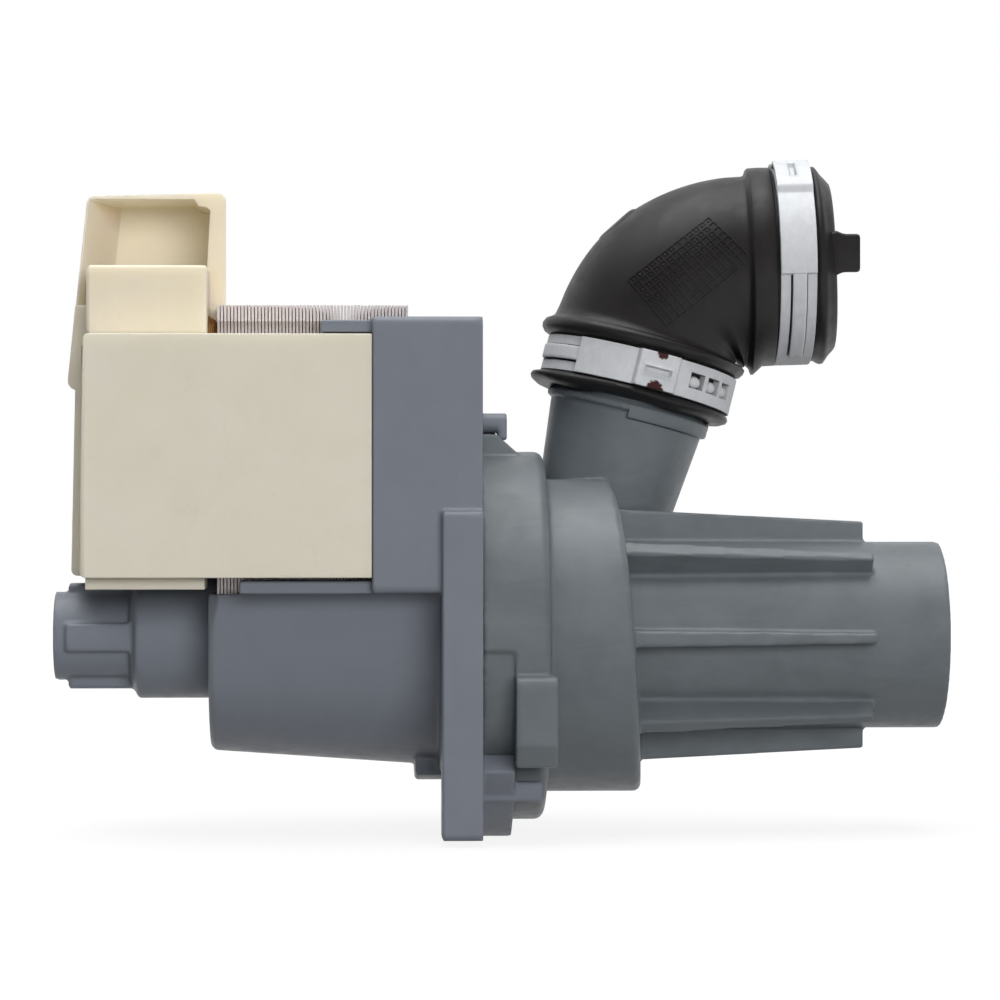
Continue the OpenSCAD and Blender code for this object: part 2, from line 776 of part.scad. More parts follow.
module rotor_can() {
    color(motor_grey) difference() {
        union() {
            bar(x_can_shoulder + 1.5, x_can_flange + 1, can_r);
            axial(x_can_shoulder) cylinder(r1 = boss_r + 1, r2 = can_r, h = 1.5);
            bar(x_can_end, x_can_shoulder + 1, boss_r);
            intersection() {
                bar(x_can_end + 2.5, x_can_shoulder + 1, boss_rib_r);
                for (a = [0, 90]) rotate([a, 0, 0]) box([x_can_end, -boss_rib_w / 2, -boss_rib_r - 1],
                    [x_can_shoulder + 1, boss_rib_w / 2, boss_rib_r + 1]);
            }
            bar(x_can_flange, x_gasket, can_flange_r);
        }
        bar(x_can_shoulder + 2.7, x_gasket + 1, can_in_r);
        bar(x_can_end + boss_end_t, x_can_shoulder + 3, boss_bore_r);
    }
}

module can_gasket() {
    color(rubber_black) ring(x_gasket, x_bearing_plate, can_flange_r, gasket_bore_r);
}

module bearing_plate() {
    color(motor_grey) difference() {
        union() {
            bar(x_bearing_plate, x_plate_front, can_flange_r);
            bar(x_bearing_hub, x_bearing_plate + 1, bearing_hub_r);
            for (i = [0:2]) rotate([60 + i * 120, 0, 0]) box([x_bearing_plate - gasket_t + 0.2, -0.8, 0],
                [x_bearing_plate + 1, 0.8, gasket_bore_r - nest_gap]);
        }
        bar(x_front_bush - nest_gap, x_plate_front + 1, holder_r + press_gap);
        bar(x_bearing_hub - 1, x_front_bush, bush_r - 0.6);
    }
}

module bush(x0) {
    color(graphite) difference() {
        ring(x0, x0 + bush_len, bush_r, bush_bore_r);
        for (a = [0, 90]) rotate([a, 0, 0]) box([x0 - 1, -0.4, -bush_bore_r - 0.6],
            [x0 + bush_len + 1, 0.4, bush_bore_r + 0.6]);
    }
}

// Rubber sleeve round a bush, with a relief groove outside
module bearing_holder(x0) {
    color(rubber_black) axial(x0 + holder_lip) difference() {
        cylinder(r = holder_r, h = bush_len - 2 * holder_lip);
        translate([0, 0, -1]) cylinder(r = bush_r + press_gap, h = bush_len);
        translate([0, 0, bush_len / 2 - holder_lip - 1]) rotate_extrude() translate([holder_r - 0.6, 0]) square([2, 2]);
    }
}

module front_bearing() {
    bush(x_front_bush);
}

module front_bearing_holder() {
    bearing_holder(x_front_bush);
}

module rear_bearing() {
    bush(x_rear_bush);
}

module rear_bearing_holder() {
    bearing_holder(x_rear_bush);
}

// Outline of one sheet: a yoke, two legs and the pole shoes round the rotor
module sheet_outline() {
    difference() {
        union() {
            translate([-core_half_w, 0]) square([2 * core_half_w, core_top]);
            circle(core_half_w);
        }
        circle(pole_bore_r);
        translate([leg_w - core_half_w, 0]) square([2 * (core_half_w - leg_w), yoke_z]);
        translate([-pole_gap / 2, -core_half_w - 1]) square([pole_gap, core_half_w + 2]);
        for (s = [-1, 1]) translate([s * (core_half_w + 1.4), core_top - 5.3]) circle(2.7);
    }
}

module stator_core() {
    color(sheet_steel) across(x_core_back, x_core_front) sheet_outline();
}

// One bobbin, a winding round it: the side is -1 for the near leg and 1 for the far leg
module coil_plan(half_x, half_y, round) {
    rounded([-half_x, -half_y], [half_x, half_y], round);
}

module bobbin(s) {
    window_x = core_len / 2 + nest_gap;
    window_y = leg_w / 2 + nest_gap;
    y_far = cover_in - nest_gap - leg_y;
    y_near = leg_y - nest_gap;
    reach = bobbin_half_x + winding_d + bobbin_lip;
    color(cream) translate([x_core_mid, s * leg_y, 0]) difference() {
        union() {
            plan(bobbin_z0, bobbin_z1) coil_plan(bobbin_half_x, bobbin_half_y, 1);
            for (z = [bobbin_z0, bobbin_z1 - bobbin_flange_t]) plan(z, z + bobbin_flange_t)
                scale([1, s]) rounded([-reach - 2, -y_near], [reach - bobbin_lip, y_far], 2);
        }
        plan(bobbin_z0 - 1, bobbin_z1 + 1) square([2 * window_x, 2 * window_y], center = true);
    }
}

module winding(s) {
    gap = 0.1;
    color(copper) translate([x_core_mid, s * leg_y, 0]) plan(winding_z0 + gap, winding_z1 - gap) difference() {
        coil_plan(bobbin_half_x + winding_d, bobbin_half_y + winding_d, 4.5);
        coil_plan(bobbin_half_x + gap, bobbin_half_y + gap, 1);
    }
}

module front_bobbin() {
    bobbin(-1);
}

module rear_bobbin() {
    bobbin(1);
}

module front_winding() {
    winding(-1);
}

module rear_winding() {
    winding(1);
}

// Opening in the covers' upper and lower walls for the legs of the core
module leg_notch() {
    notch = core_half_w + 2 * nest_gap;
    box([x_core_back - 2 * nest_gap, -notch, cover_z0 - 1], [x_cover_front + 1, notch, cover_z1 + 1]);
}

// A box with broken edges towards -Y, on the XZ and XY outlines, whose left side leans out below
module cover_block(a, b, r, lean = 0) {
    low = a[0] - lean / 2;
    high = a[0] + lean / 2;
    intersection() {
        side(a[1], b[1]) polygon([[low, a[2] + r], [low + 0.3 * r, a[2] + 0.3 * r], [low + r, a[2]], [b[0], a[2]],
            [b[0], b[2]], [high + r, b[2]], [high + 0.3 * r, b[2] - 0.3 * r], [high, b[2] - r]]);
        plan(a[2] - 1, b[2] + 1) polygon([[low - 1, b[1] + 1], [low - 1, a[1] + r + 1], [low, a[1] + r],
            [low + 0.3 * r, a[1] + 0.3 * r], [low + r, a[1]], [b[0] + 1, a[1]], [b[0] + 1, b[1] + 1]]);
    }
}

module front_coil_cover() {
    y1 = split_y - nest_gap;
    color(cream) {
        difference() {
            cover_block([x_cover_back, -cover_half_w, cover_z0], [x_cover_front, y1, cover_z1],
                cover_round, cover_lean);
            box([x_cover_back + cover_wall, -cover_in, cover_z0 + cover_wall],
                [x_cover_front + 1, y1 + 1, cover_z1 - cover_wall]);
            leg_notch();
        }
        // Tongue under the lower wall, left of the pole cup
        box([x_cover_back + 0.5, -cover_half_w + 4, cover_z0 - 2.2],
            [x_cup_back - nest_gap, y1 - 2, cover_z0 + 0.5]);
    }
}

module rear_coil_cover() {
    x0 = x_rear_cover;
    color(cream) {
        difference() {
            mirror([0, 1, 0]) cover_block([x0, -cover_half_w, cover_z0],
                [x_cover_front, -split_y, cover_z1], cover_round, 1.5 * cover_lean);
            box([x0 + cover_wall, split_y - 1, cover_z0 + cover_wall],
                [x_cover_front + 1, cover_in, cover_z1 - cover_wall]);
            leg_notch();
            bar(x_can_end, x_core_back, can_r + nest_gap);
        }
        latch_wedge();
    }
}

// Wedge on the rear cover's end wall, thickest near its rounded foot, that the plug snaps behind
module latch_wedge() {
    x0 = x_rear_cover;
    z0 = cover_z1 - 10.2;
    side(split_y, shroud_y0 - nest_gap) {
        polygon([[x0 + 1, z0 + 1.6], [x0 - 1.1, z0 + 2.4], [x0 + 0.3, shroud_z0 + 5],
            [x0 + 1.5, shroud_z0 + 5], [x0 + 1.5, z0]]);
        translate([x0 + 0.7, z0 + 2.2]) circle(1.8);
    }
}

module terminal_block() {
    x0 = x_block_front - block_len;
    color(cream_light) difference() {
        union() {
            cover_block([x0, block_y0, shroud_z0], [x_block_front, block_y1, block_top], 0.8);
            box([x0 + 2, block_y0 + 2, cover_z1 - cover_wall - 4], [x_block_front - 2, block_y1 - 2, shroud_z0 + 1]);
        }
        box([x0 + 1.6, block_y0 + 1.6, cover_z1 - 8], [x_block_front - 1.6, block_y1 - 1.6, block_top - 1.6]);
    }
}

// Plug housing: a tray that is open to the near side above the block
module connector_shroud() {
    color(cream_light) difference() {
        side(shroud_y0, shroud_y1) shroud_outline();
        side(shroud_y0 - 1, shroud_y1 - shroud_wall) shroud_cavity();
        box([x_core_back - nest_gap, shroud_y0 - 1, shroud_z0 - 1],
            [x_shroud_front + 1, shroud_y1 + 1, core_top + nest_gap]);
        plan(shroud_z0 - 1, shroud_top + 1) polygon([[x_shroud_front, shroud_y0], [x_shroud_front + 2, shroud_y0 - 1],
            [x_shroud_front + 2, shroud_y1 + 1], [x_shroud_front - wall_draft, shroud_y1 + 1]]);
    }
}

module shroud_outline() {
    r = 1.6;
    x0 = x_shroud_back;
    x1 = x_shroud_front;
    left_top = shroud_top - shroud_slope;
    polygon([[x0 - shroud_draft, shroud_z0], [x1, shroud_z0], [x1, shroud_top - r],
        [x1 - r, shroud_top - r], [x1 - r, shroud_top], [x0 + r, left_top],
        [x0 + r, left_top - r], [x0, left_top - r]]);
    translate([x1 - r, shroud_top - r]) circle(r);
    translate([x0 + r, left_top - r]) circle(r);
}

// Hollow of the tray, with a gusset in its upper right corner
module shroud_cavity() {
    x0 = x_shroud_back + shroud_wall;
    x1 = x_shroud_front - 3;
    top = shroud_top - shroud_slope - shroud_wall + 0.4;
    polygon([[x0 - shroud_draft, shroud_z0 + shroud_wall], [x1 - 1.2, shroud_z0 + shroud_wall],
        [x1, top - 1.6], [x1 - 0.7, top - 1], [x1 - 2.2, top - 0.8], [x1 - 3, top], [x0, top]]);
}

blade_count = 3;
blade_len = 9;

// Upright blades on the tray's floor
module terminal_blades() {
    z = shroud_z0 + shroud_wall;
    y = shroud_y0 + shroud_depth / 2;
    x_mid = x_shroud_front - shroud_len / 2 - 1;
    w = blade_w / 2;
    color(band_steel) for (i = [0:blade_count - 1])
        translate([x_mid + (i - (blade_count - 1) / 2) * blade_pitch, 0, z]) side(y - blade_t / 2, y + blade_t / 2)
            polygon([[-w, 0], [w, 0], [w, blade_len - 1], [w - 1, blade_len], [1 - w, blade_len], [-w, blade_len - 1]]);
}

// Temperature switch that lies against the near winding's left end
module thermal_cutout() {
    x1 = x_core_mid - bobbin_half_x - winding_d - nest_gap;
    z0 = (winding_z0 + winding_z1) / 2;
    color("dimgray") translate([0, -leg_y, z0]) box([x1 - 3.6, -4, -7], [x1, 4, 7]);
}

// Outside of the lower cuff, as distance from its edge and radius
lower_cuff = [[0, lip_r - 2.9], [0.15 * lip_t, lip_r - 1.3], [0.45 * lip_t, lip_r - 0.2], [0.7 * lip_t, lip_r],
    [0.95 * lip_t, lip_r - 0.2], [1.12 * lip_t, lip_r - 1], [1.25 * lip_t, cuff_r],
    [cuff_len - 1.25 * lip_t, cuff_r], [cuff_len - 1.1 * lip_t, lip_r - 1.2], [cuff_len - 0.9 * lip_t, lip_r - 0.4],
    [cuff_len - 0.6 * lip_t, lip_r], [cuff_len - 0.3 * lip_t, lip_r - 0.2], [cuff_len, lip_r - 0.9],
    [cuff_len + 0.35 * lip_t, hose_r + 0.2]];

// Outside of the free cuff: a ridge at the bend, the band's seat, a lip, and a taper to the mouth
lip_at = free_cuff_len - rim_len - free_lip_t;
free_cuff = [[-0.4, hose_r + 0.2], [0.2, cuff_r + 0.6], [free_ridge_t / 2, cuff_r + 0.8], [free_ridge_t - 0.2, cuff_r + 0.6],
    [free_ridge_t, cuff_r], [lip_at, cuff_r], [lip_at + 0.4, lip_r - 0.7], [lip_at + 1, lip_r - 0.5],
    [lip_at + 1.7, lip_r - 0.8], [free_cuff_len - 1.1, cuff_r], [free_cuff_len - 0.3, cuff_r - 0.9],
    [free_cuff_len, cuff_r - 1.4]];

module revolved(profile) {
    last = len(profile) - 1;
    rotate_extrude() polygon(concat([[0, profile[0][0]]], [for (p = profile) [p[1], p[0]]], [[0, profile[last][0]]]));
}

// Hose: cuff on the outlet pipe, bend and free cuff, all on one bore
module hose_solid() {
    outlet(hose_start) revolved(lower_cuff);
    hose_bend(hose_r);
    translate([bend_x, outlet_y, free_axis_z]) {
        axial(0) revolved(free_cuff);
        box([free_cuff_len - rim_len - 1, -cuff_r + 0.7, nub_up - nub_w / 2],
            [free_cuff_len + nub_len, -free_bore_r - nest_gap, nub_up + nub_w / 2]);
    }
}

module hose_bend(r) {
    translate([bend_x, outlet_y, bend_z]) rotate([90, 0, 0]) rotate([0, 0, 90])
        rotate_extrude(angle = bend_sweep) translate([bend_r, 0]) circle(r);
}

// Raised pad on the outer side of the bend
module bend_pad() {
    translate([bend_x, outlet_y, bend_z]) rotate([0, -(bend_sweep * 0.555), 0])
        translate([0, 0, bend_r + hose_r - 2]) cylinder(r = 4.4, h = 2.5);
}

module elbow_hose() {
    color(rubber_black) difference() {
        union() {
            hose_solid();
            bend_pad();
        }
        outlet(hose_start - 1) cylinder(r = hose_bore_r, h = cuff_len + 1 + eps);
        hose_bend(hose_in_r);
        translate([bend_x, outlet_y, free_axis_z]) {
            bar(-eps, free_cuff_len + 1, hose_in_r - eps);
            bar(free_ridge_t, free_cuff_len + 1, free_bore_r);
        }
    }
}

// Band clamp round Z: a ring, and over it the outer end. The closing ear stands on that end, with the hook
// windows on one side of it, and a narrow tongue at the end of the other side
window_count = 3;
window_from = 21;
window_pitch = 13.4;
window_span = 10.4;
window_edge = 1.6;
layer_front = 84;
ear_margin = 0.5;
tongue_w = 2.4;
tongue_out = 0.5;

module band_clamp(ear_angle, layer_back, tongue_back) {
    r0 = band_in_r;
    r1 = r0 + band_t;
    r2 = r1 + band_t;
    reach = r2 + ear_h;
    color(band_steel) rotate(ear_angle) translate([0, 0, -band_w / 2]) difference() {
        union() {
            cylinder(r = r1, h = band_w);
            for (span = [[-layer_back, 0], [-1, layer_front]]) intersection() {
                cylinder(r = r2, h = band_w);
                pie(span[0], span[1], reach, band_w);
            }
            translate([0, 0, (band_w - tongue_w) / 2]) intersection() {
                cylinder(r = r1 + tongue_out, h = tongue_w);
                pie(-tongue_back, 1 - layer_back, reach, tongue_w);
            }
            translate([r1, 0, ear_margin]) linear_extrude(band_w - 2 * ear_margin) ear_outline(ear_len, ear_h);
        }
        translate([0, 0, -1]) cylinder(r = r0, h = band_w + 2);
        for (i = [0:window_count - 1]) rotate(window_from + window_pitch * i) difference() {
            translate([0, 0, window_edge]) pie(0, window_span, reach, band_w - 2 * window_edge);
            translate([0, 0, -1]) cylinder(r = r1, h = band_w + 2);
        }
        translate([r1, 0, -1]) linear_extrude(band_w + 2) ear_outline(ear_len - 3, ear_h - band_t);
        translate([r1 + ear_h - band_t / 2, -ear_len / 4, (band_w - tongue_w / 2) / 2])
            cube([band_t, ear_len / 2, tongue_w / 2]);
    }
}

// An arch with sloping sides, standing on the 2D y axis
module ear_outline(length, height) {
    polygon([[0, -length / 2], [height - 0.6, 0.9 - length / 2], [height, 1.6 - length / 2],
        [height, length / 2 - 1.6], [height - 0.6, length / 2 - 0.9], [0, length / 2]]);
}

lower_ear = -78.5;
upper_ear = 24;

module lower_clamp() {
    outlet(lower_band_at) band_clamp(lower_ear, 49, 97);
}

module upper_clamp() {
    translate([bend_x, outlet_y, free_axis_z]) axial(upper_band_at) mirror([0, 1, 0]) band_clamp(-upper_ear, 76, 127);
}

module shaft() {
    chamfer = 0.5;
    length = x_shaft_front - x_shaft_back;
    color("gainsboro") axial(x_shaft_back) rotate_extrude() polygon([[0, 0], [shaft_r - chamfer, 0],
        [shaft_r, chamfer], [shaft_r, length - chamfer], [shaft_r - chamfer, length], [0, length]]);
}

module rotor_magnet() {
    color(graphite) ring(x_magnet_back, x_magnet_front, magnet_r, magnet_hub_r + press_gap);
}

// Plastic hub moulded round the shaft, with a flange at each end of the magnet
module rotor_sleeve() {
    color("ivory") difference() {
        union() {
            bar(x_sleeve_back, x_sleeve_front, magnet_hub_r);
            bar(x_magnet_back - sleeve_flange_t, x_magnet_back, magnet_r - 0.6);
            bar(x_magnet_front, x_magnet_front + sleeve_flange_t - nest_gap, magnet_r - 0.6);
        }
        bar(x_sleeve_back - 1, x_sleeve_front + 1, shaft_hole_r);
    }
}

module front_thrust_washer() {
    color("gainsboro") ring(x_front_washer, x_front_washer + washer_t, magnet_hub_r, shaft_hole_r);
}

module rear_thrust_washer() {
    color("gainsboro") ring(x_rear_washer, x_rear_washer + washer_t, magnet_hub_r, shaft_hole_r);
}

// One vane: a thin crescent between two circles, from the hub's edge to the rim
module vane_outline() {
    intersection() {
        translate([-vane_curve * 0.5, vane_curve * 0.78]) difference() {
            circle(vane_curve);
            circle(vane_curve - vane_t);
        }
        difference() {
            circle(impeller_r - 0.4);
            circle(eye_r - 2.4);
        }
        translate([0, -impeller_r]) square([2 * impeller_r, 2 * impeller_r]);
    }
}

module impeller() {
    color("ivory") difference() {
        union() {
            bar(x_impeller_hub, x_hub_front, hub_r);
            bar(x_back_plate, x_vanes, impeller_r);
            axial(x_vanes) cylinder(r1 = hub_r + 3.4, r2 = hub_r, h = 2.4);
            axial(x_vanes - eps) linear_extrude(vane_h + eps)
                for (i = [0:vane_count - 1]) rotate(i * 360 / vane_count) vane_outline();
        }
        bar(x_impeller_hub - 1, x_hub_front + 1, shaft_hole_r);
    }
}

module impeller_shroud() {
    color("ivory") {
        ring(x_front_plate, x_front_plate + plate_t, impeller_r, eye_r);
        ring(x_front_plate, x_front_plate + plate_t + neck_len, eye_r + 1.9, eye_r);
    }
}

module impeller_nut() {
    h = x_shaft_front - x_hub_front + 1.5;
    color("ivory") difference() {
        axial(x_hub_front) rotate_extrude() difference() {
            union() {
                square([hub_r - 0.8, h - hub_r + 1.4]);
                translate([0, h - hub_r + 1]) intersection() {
                    circle(hub_r - 0.8);
                    square(hub_r);
                }
            }
            translate([-1, -1]) square([1, h + 2]);
        }
        bar(x_hub_front - 1, x_shaft_front + press_gap, shaft_hole_r);
    }
}

pump_casing();
casing_seal();
motor_housing();
rotor_can();
can_gasket();
bearing_plate();
front_bearing();
front_bearing_holder();
rear_bearing();
rear_bearing_holder();
stator_core();
front_bobbin();
rear_bobbin();
front_winding();
rear_winding();
front_coil_cover();
rear_coil_cover();
terminal_block();
connector_shroud();
terminal_blades();
thermal_cutout();
elbow_hose();
lower_clamp();
upper_clamp();
shaft();
rotor_magnet();
rotor_sleeve();
front_thrust_washer();
rear_thrust_washer();
impeller();
impeller_shroud();
impeller_nut();
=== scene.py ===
"""Dishwasher circulation pump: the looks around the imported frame. Lengths are in millimetres up to the mesh."""
import json
import math
import random

import bmesh
import bpy
import numpy as np
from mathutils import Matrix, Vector
from mathutils.bvhtree import BVHTree

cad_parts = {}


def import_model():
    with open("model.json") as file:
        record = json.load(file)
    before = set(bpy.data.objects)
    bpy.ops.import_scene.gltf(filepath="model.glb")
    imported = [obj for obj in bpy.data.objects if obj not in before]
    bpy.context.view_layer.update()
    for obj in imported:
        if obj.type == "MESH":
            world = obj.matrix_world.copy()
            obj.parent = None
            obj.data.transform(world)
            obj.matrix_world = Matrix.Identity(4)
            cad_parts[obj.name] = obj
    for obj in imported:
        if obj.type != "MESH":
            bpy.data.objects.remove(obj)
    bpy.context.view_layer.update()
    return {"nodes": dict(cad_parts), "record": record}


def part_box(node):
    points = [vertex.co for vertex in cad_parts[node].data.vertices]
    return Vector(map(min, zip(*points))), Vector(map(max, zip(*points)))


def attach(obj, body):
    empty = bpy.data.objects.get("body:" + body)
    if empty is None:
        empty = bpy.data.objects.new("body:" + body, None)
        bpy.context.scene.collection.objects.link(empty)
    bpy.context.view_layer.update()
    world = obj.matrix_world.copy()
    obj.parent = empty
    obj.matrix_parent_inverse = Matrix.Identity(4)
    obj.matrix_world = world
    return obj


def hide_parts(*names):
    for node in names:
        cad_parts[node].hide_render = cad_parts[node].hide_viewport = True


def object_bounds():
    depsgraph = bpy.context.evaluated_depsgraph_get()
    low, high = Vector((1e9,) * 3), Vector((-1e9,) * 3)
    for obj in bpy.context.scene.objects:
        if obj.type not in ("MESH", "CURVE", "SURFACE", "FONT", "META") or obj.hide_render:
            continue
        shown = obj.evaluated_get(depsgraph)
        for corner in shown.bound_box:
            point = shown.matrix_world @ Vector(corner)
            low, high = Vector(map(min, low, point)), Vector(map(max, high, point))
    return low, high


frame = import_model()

MM = 0.001


# Materials

def srgb(r, g, b):
    """A colour as seen on screen, 0 to 255, as the linear colour that the shaders take."""
    return tuple(c / 12.92 if c <= 0.04045 else ((c + 0.055) / 1.055) ** 2.4
                 for c in (r / 255, g / 255, b / 255)) + (1.0,)


def shade(colour, k):
    return tuple(min(1.0, c * k) for c in colour[:3]) + (1.0,)


class Surface:
    """A material with a Principled shader, and short names for the nodes that it is built from."""

    def __init__(self, name):
        self.material = bpy.data.materials.new(name)
        self.material.use_nodes = True
        self.tree = self.material.node_tree
        self.tree.nodes.clear()
        self.out = self.add("ShaderNodeOutputMaterial")
        self.shader = self.add("ShaderNodeBsdfPrincipled")
        self.link(self.shader.outputs[0], self.out.inputs[0])
        place = self.add("ShaderNodeTexCoord")
        scale = self.add("ShaderNodeVectorMath", operation="SCALE")
        scale.inputs["Scale"].default_value = 1 / MM
        self.link(place.outputs["Object"], scale.inputs[0])
        self.mm = scale.outputs[0]

    def add(self, kind, **settings):
        node = self.tree.nodes.new(kind)
        for key, value in settings.items():
            setattr(node, key, value)
        return node

    def link(self, a, b):
        self.tree.links.new(a, b)

    def put(self, socket, value):
        if isinstance(value, bpy.types.NodeSocket):
            self.link(value, socket)
        else:
            socket.default_value = value

    def stretched(self, x, y, z):
        node = self.add("ShaderNodeVectorMath", operation="MULTIPLY")
        node.inputs[1].default_value = (x, y, z)
        self.link(self.mm, node.inputs[0])
        return node.outputs[0]

    def noise(self, scale, detail=3.0, rough=0.55, bend=0.0, where=None):
        node = self.add("ShaderNodeTexNoise")
        self.link(where or self.mm, node.inputs["Vector"])
        node.inputs["Scale"].default_value = scale
        node.inputs["Detail"].default_value = detail
        node.inputs["Roughness"].default_value = rough
        node.inputs["Distortion"].default_value = bend
        return node.outputs[0]

    def cells(self, scale, out="Distance"):
        node = self.add("ShaderNodeTexVoronoi")
        self.link(self.mm, node.inputs["Vector"])
        node.inputs["Scale"].default_value = scale
        return node.outputs[out]

    def near(self, point):
        """Distance from a point of the object, in millimetres."""
        node = self.add("ShaderNodeVectorMath", operation="DISTANCE")
        node.inputs[1].default_value = point
        self.link(self.mm, node.inputs[0])
        return node.outputs["Value"]

    def remap(self, value, lo, hi, a=0.0, b=1.0):
        node = self.add("ShaderNodeMapRange")
        self.link(value, node.inputs[0])
        for i, v in enumerate((lo, hi, a, b), 1):
            self.put(node.inputs[i], v)
        return node.outputs[0]

    def math(self, operation, a, b=0.0, c=0.0):
        node = self.add("ShaderNodeMath", operation=operation)
        for i, v in enumerate((a, b, c)):
            self.put(node.inputs[i], v)
        return node.outputs[0]

    def mix(self, factor, a, b):
        node = self.add("ShaderNodeMix", data_type="RGBA")
        self.put(node.inputs[0], factor)
        self.put(node.inputs[6], a)
        self.put(node.inputs[7], b)
        return node.outputs[2]

    def rounded(self, radius):
        """Normals as if the edges were rounded."""
        bevel = self.add("ShaderNodeBevel", samples=4)
        bevel.inputs["Radius"].default_value = radius * MM
        return bevel.outputs[0]

    def edges(self, radius, lo=0.80, hi=0.995):
        """1 on outer and inner edges, 0 on flat surfaces."""
        shape = self.add("ShaderNodeNewGeometry")
        dot = self.add("ShaderNodeVectorMath", operation="DOT_PRODUCT")
        self.link(self.rounded(radius), dot.inputs[0])
        self.link(shape.outputs["Normal"], dot.inputs[1])
        return self.remap(dot.outputs["Value"], lo, hi, 1.0, 0.0)

    def hollows(self, distance):
        """0 in corners and under overhangs, 1 in the open."""
        node = self.add("ShaderNodeAmbientOcclusion", samples=6)
        node.inputs["Distance"].default_value = distance * MM
        return node.outputs["AO"]

    def bump(self, height, strength, depth, round_edges=0.0):
        node = self.add("ShaderNodeBump")
        node.inputs["Strength"].default_value = strength
        node.inputs["Distance"].default_value = depth * MM
        self.link(height, node.inputs["Height"])
        if round_edges:
            self.link(self.rounded(round_edges), node.inputs["Normal"])
        self.link(node.outputs[0], self.shader.inputs["Normal"])

    def finish(self, colour, rough, metal=0.0, specular=0.5, **extra):
        self.put(self.shader.inputs["Base Color"], colour)
        self.put(self.shader.inputs["Roughness"], rough)
        self.shader.inputs["Metallic"].default_value = metal
        self.shader.inputs["Specular IOR Level"].default_value = specular
        for key, value in extra.items():
            self.shader.inputs[key.replace("_", " ")].default_value = value
        return self.material


def moulded_plastic(name, colour, rough=0.45, cloud=0.10, grain=0.08, wear=0.16, corner_shade=0.25, flow=(1, 1, 1),
                    streak=0.35, round_edges=0.3, tint=None, specks=0.0, specular=0.4, glow=0.0, smudges=()):
    """Glass-filled thermoplastic: cloudy filler, fine grain, flow streaks, pale rubbed edges, painted shade in
    corners.

    glow is the share of light that goes into the plastic and comes out nearby, and smudges are given as
    (point, radius, strength).
    """
    s = Surface(name)
    clouds = s.remap(s.noise(0.07, 4, 0.6, 0.6), 0.36, 0.64)
    tone = s.mix(clouds, shade(colour, 1 - cloud), shade(tint or colour, 1 + cloud))
    streaks = s.remap(s.noise(0.35, 5, 0.65, 0.9, s.stretched(*flow)), 0.46, 0.72)
    tone = s.mix(s.math("MULTIPLY", streaks, streak), tone, shade(colour, 1 + 1.6 * cloud))
    fine = s.noise(2.6, 4, 0.7)
    tone = s.mix(s.remap(fine, 0.3, 0.7, 0.0, grain * 3), tone, shade(colour, 1 - 2.4 * grain))
    if specks:
        dots = s.math("LESS_THAN", s.cells(0.22), s.remap(s.noise(0.5, 1), 0.45, 0.75, 0.0, 0.055))
        tone = s.mix(s.math("MULTIPLY", dots, specks), tone, shade(colour, 0.35))
        smudge = s.remap(s.noise(0.16, 5, 0.7, 1.2), 0.63, 0.80, 0.0, specks)
        tone = s.mix(smudge, tone, shade(colour, 0.72))
    for point, radius, strength in smudges:
        inside = s.remap(s.near(point), radius, 0.3 * radius)
        patch = s.math("MULTIPLY", inside, s.remap(s.noise(0.45, 2), 0.30, 0.75))
        tone = s.mix(s.math("MULTIPLY", patch, strength), tone, shade(colour, 0.6))
    tone = s.mix(s.math("MULTIPLY", s.edges(0.55), wear), tone, shade(colour, 1.5))
    # Painted shade: the colour darkens in corners and under overhangs, where the ambient occlusion node finds them.
    tone = s.mix(s.remap(s.hollows(4.0), 0.25, 0.85, corner_shade, 0.0), tone, shade(colour, 0.5))
    gloss = s.remap(s.noise(0.4, 4, 0.6), 0.3, 0.7, rough - 0.06, rough + 0.08)
    s.bump(s.math("ADD", fine, s.noise(0.9, 2)), 0.30, 0.03, round_edges)
    return s.finish(tone, gloss, specular=specular, Subsurface_Weight=glow, Subsurface_Scale=5 * MM,
                    Subsurface_Radius=(1.0, 0.95, 0.80))


def rubber(name, colour, rough=0.5, dust=0.5, specular=0.25):
    """Moulded rubber: bloom and dust on a dark base, small light specks, soft grain, a painted highlight along
    edges and painted shade in hollows.
    """
    s = Surface(name)
    bloom = s.remap(s.noise(0.09, 5, 0.6, 0.8), 0.38, 0.68)
    tone = s.mix(s.math("MULTIPLY", bloom, dust), colour, shade(colour, 1.7))
    rub = s.remap(s.noise(0.5, 6, 0.7, 0.5, s.stretched(0.5, 1, 1)), 0.52, 0.75, 0.0, 0.5 * dust)
    tone = s.mix(rub, tone, shade(colour, 2.2))
    dots = s.math("LESS_THAN", s.cells(0.30), s.remap(s.noise(0.7, 1), 0.55, 0.8, 0.0, 0.06))
    tone = s.mix(s.math("MULTIPLY", dots, 0.5), tone, srgb(150, 145, 138))
    # Painted highlight: edges and ridges are lightened as if light caught them.
    tone = s.mix(s.math("MULTIPLY", s.edges(0.25), 0.3), tone, shade(colour, 2.4))
    # Painted shade: the colour darkens in hollows, where the ambient occlusion node finds them.
    tone = s.mix(s.remap(s.hollows(3.0), 0.2, 0.9, 0.3, 0.0), tone, shade(colour, 0.45))
    gloss = s.remap(s.noise(0.3, 4, 0.6), 0.3, 0.7, rough - 0.07, rough + 0.07)
    s.bump(s.math("ADD", s.noise(3.0, 4, 0.7), s.noise(0.7, 2)), 0.3, 0.04)
    return s.finish(tone, gloss, specular=specular)


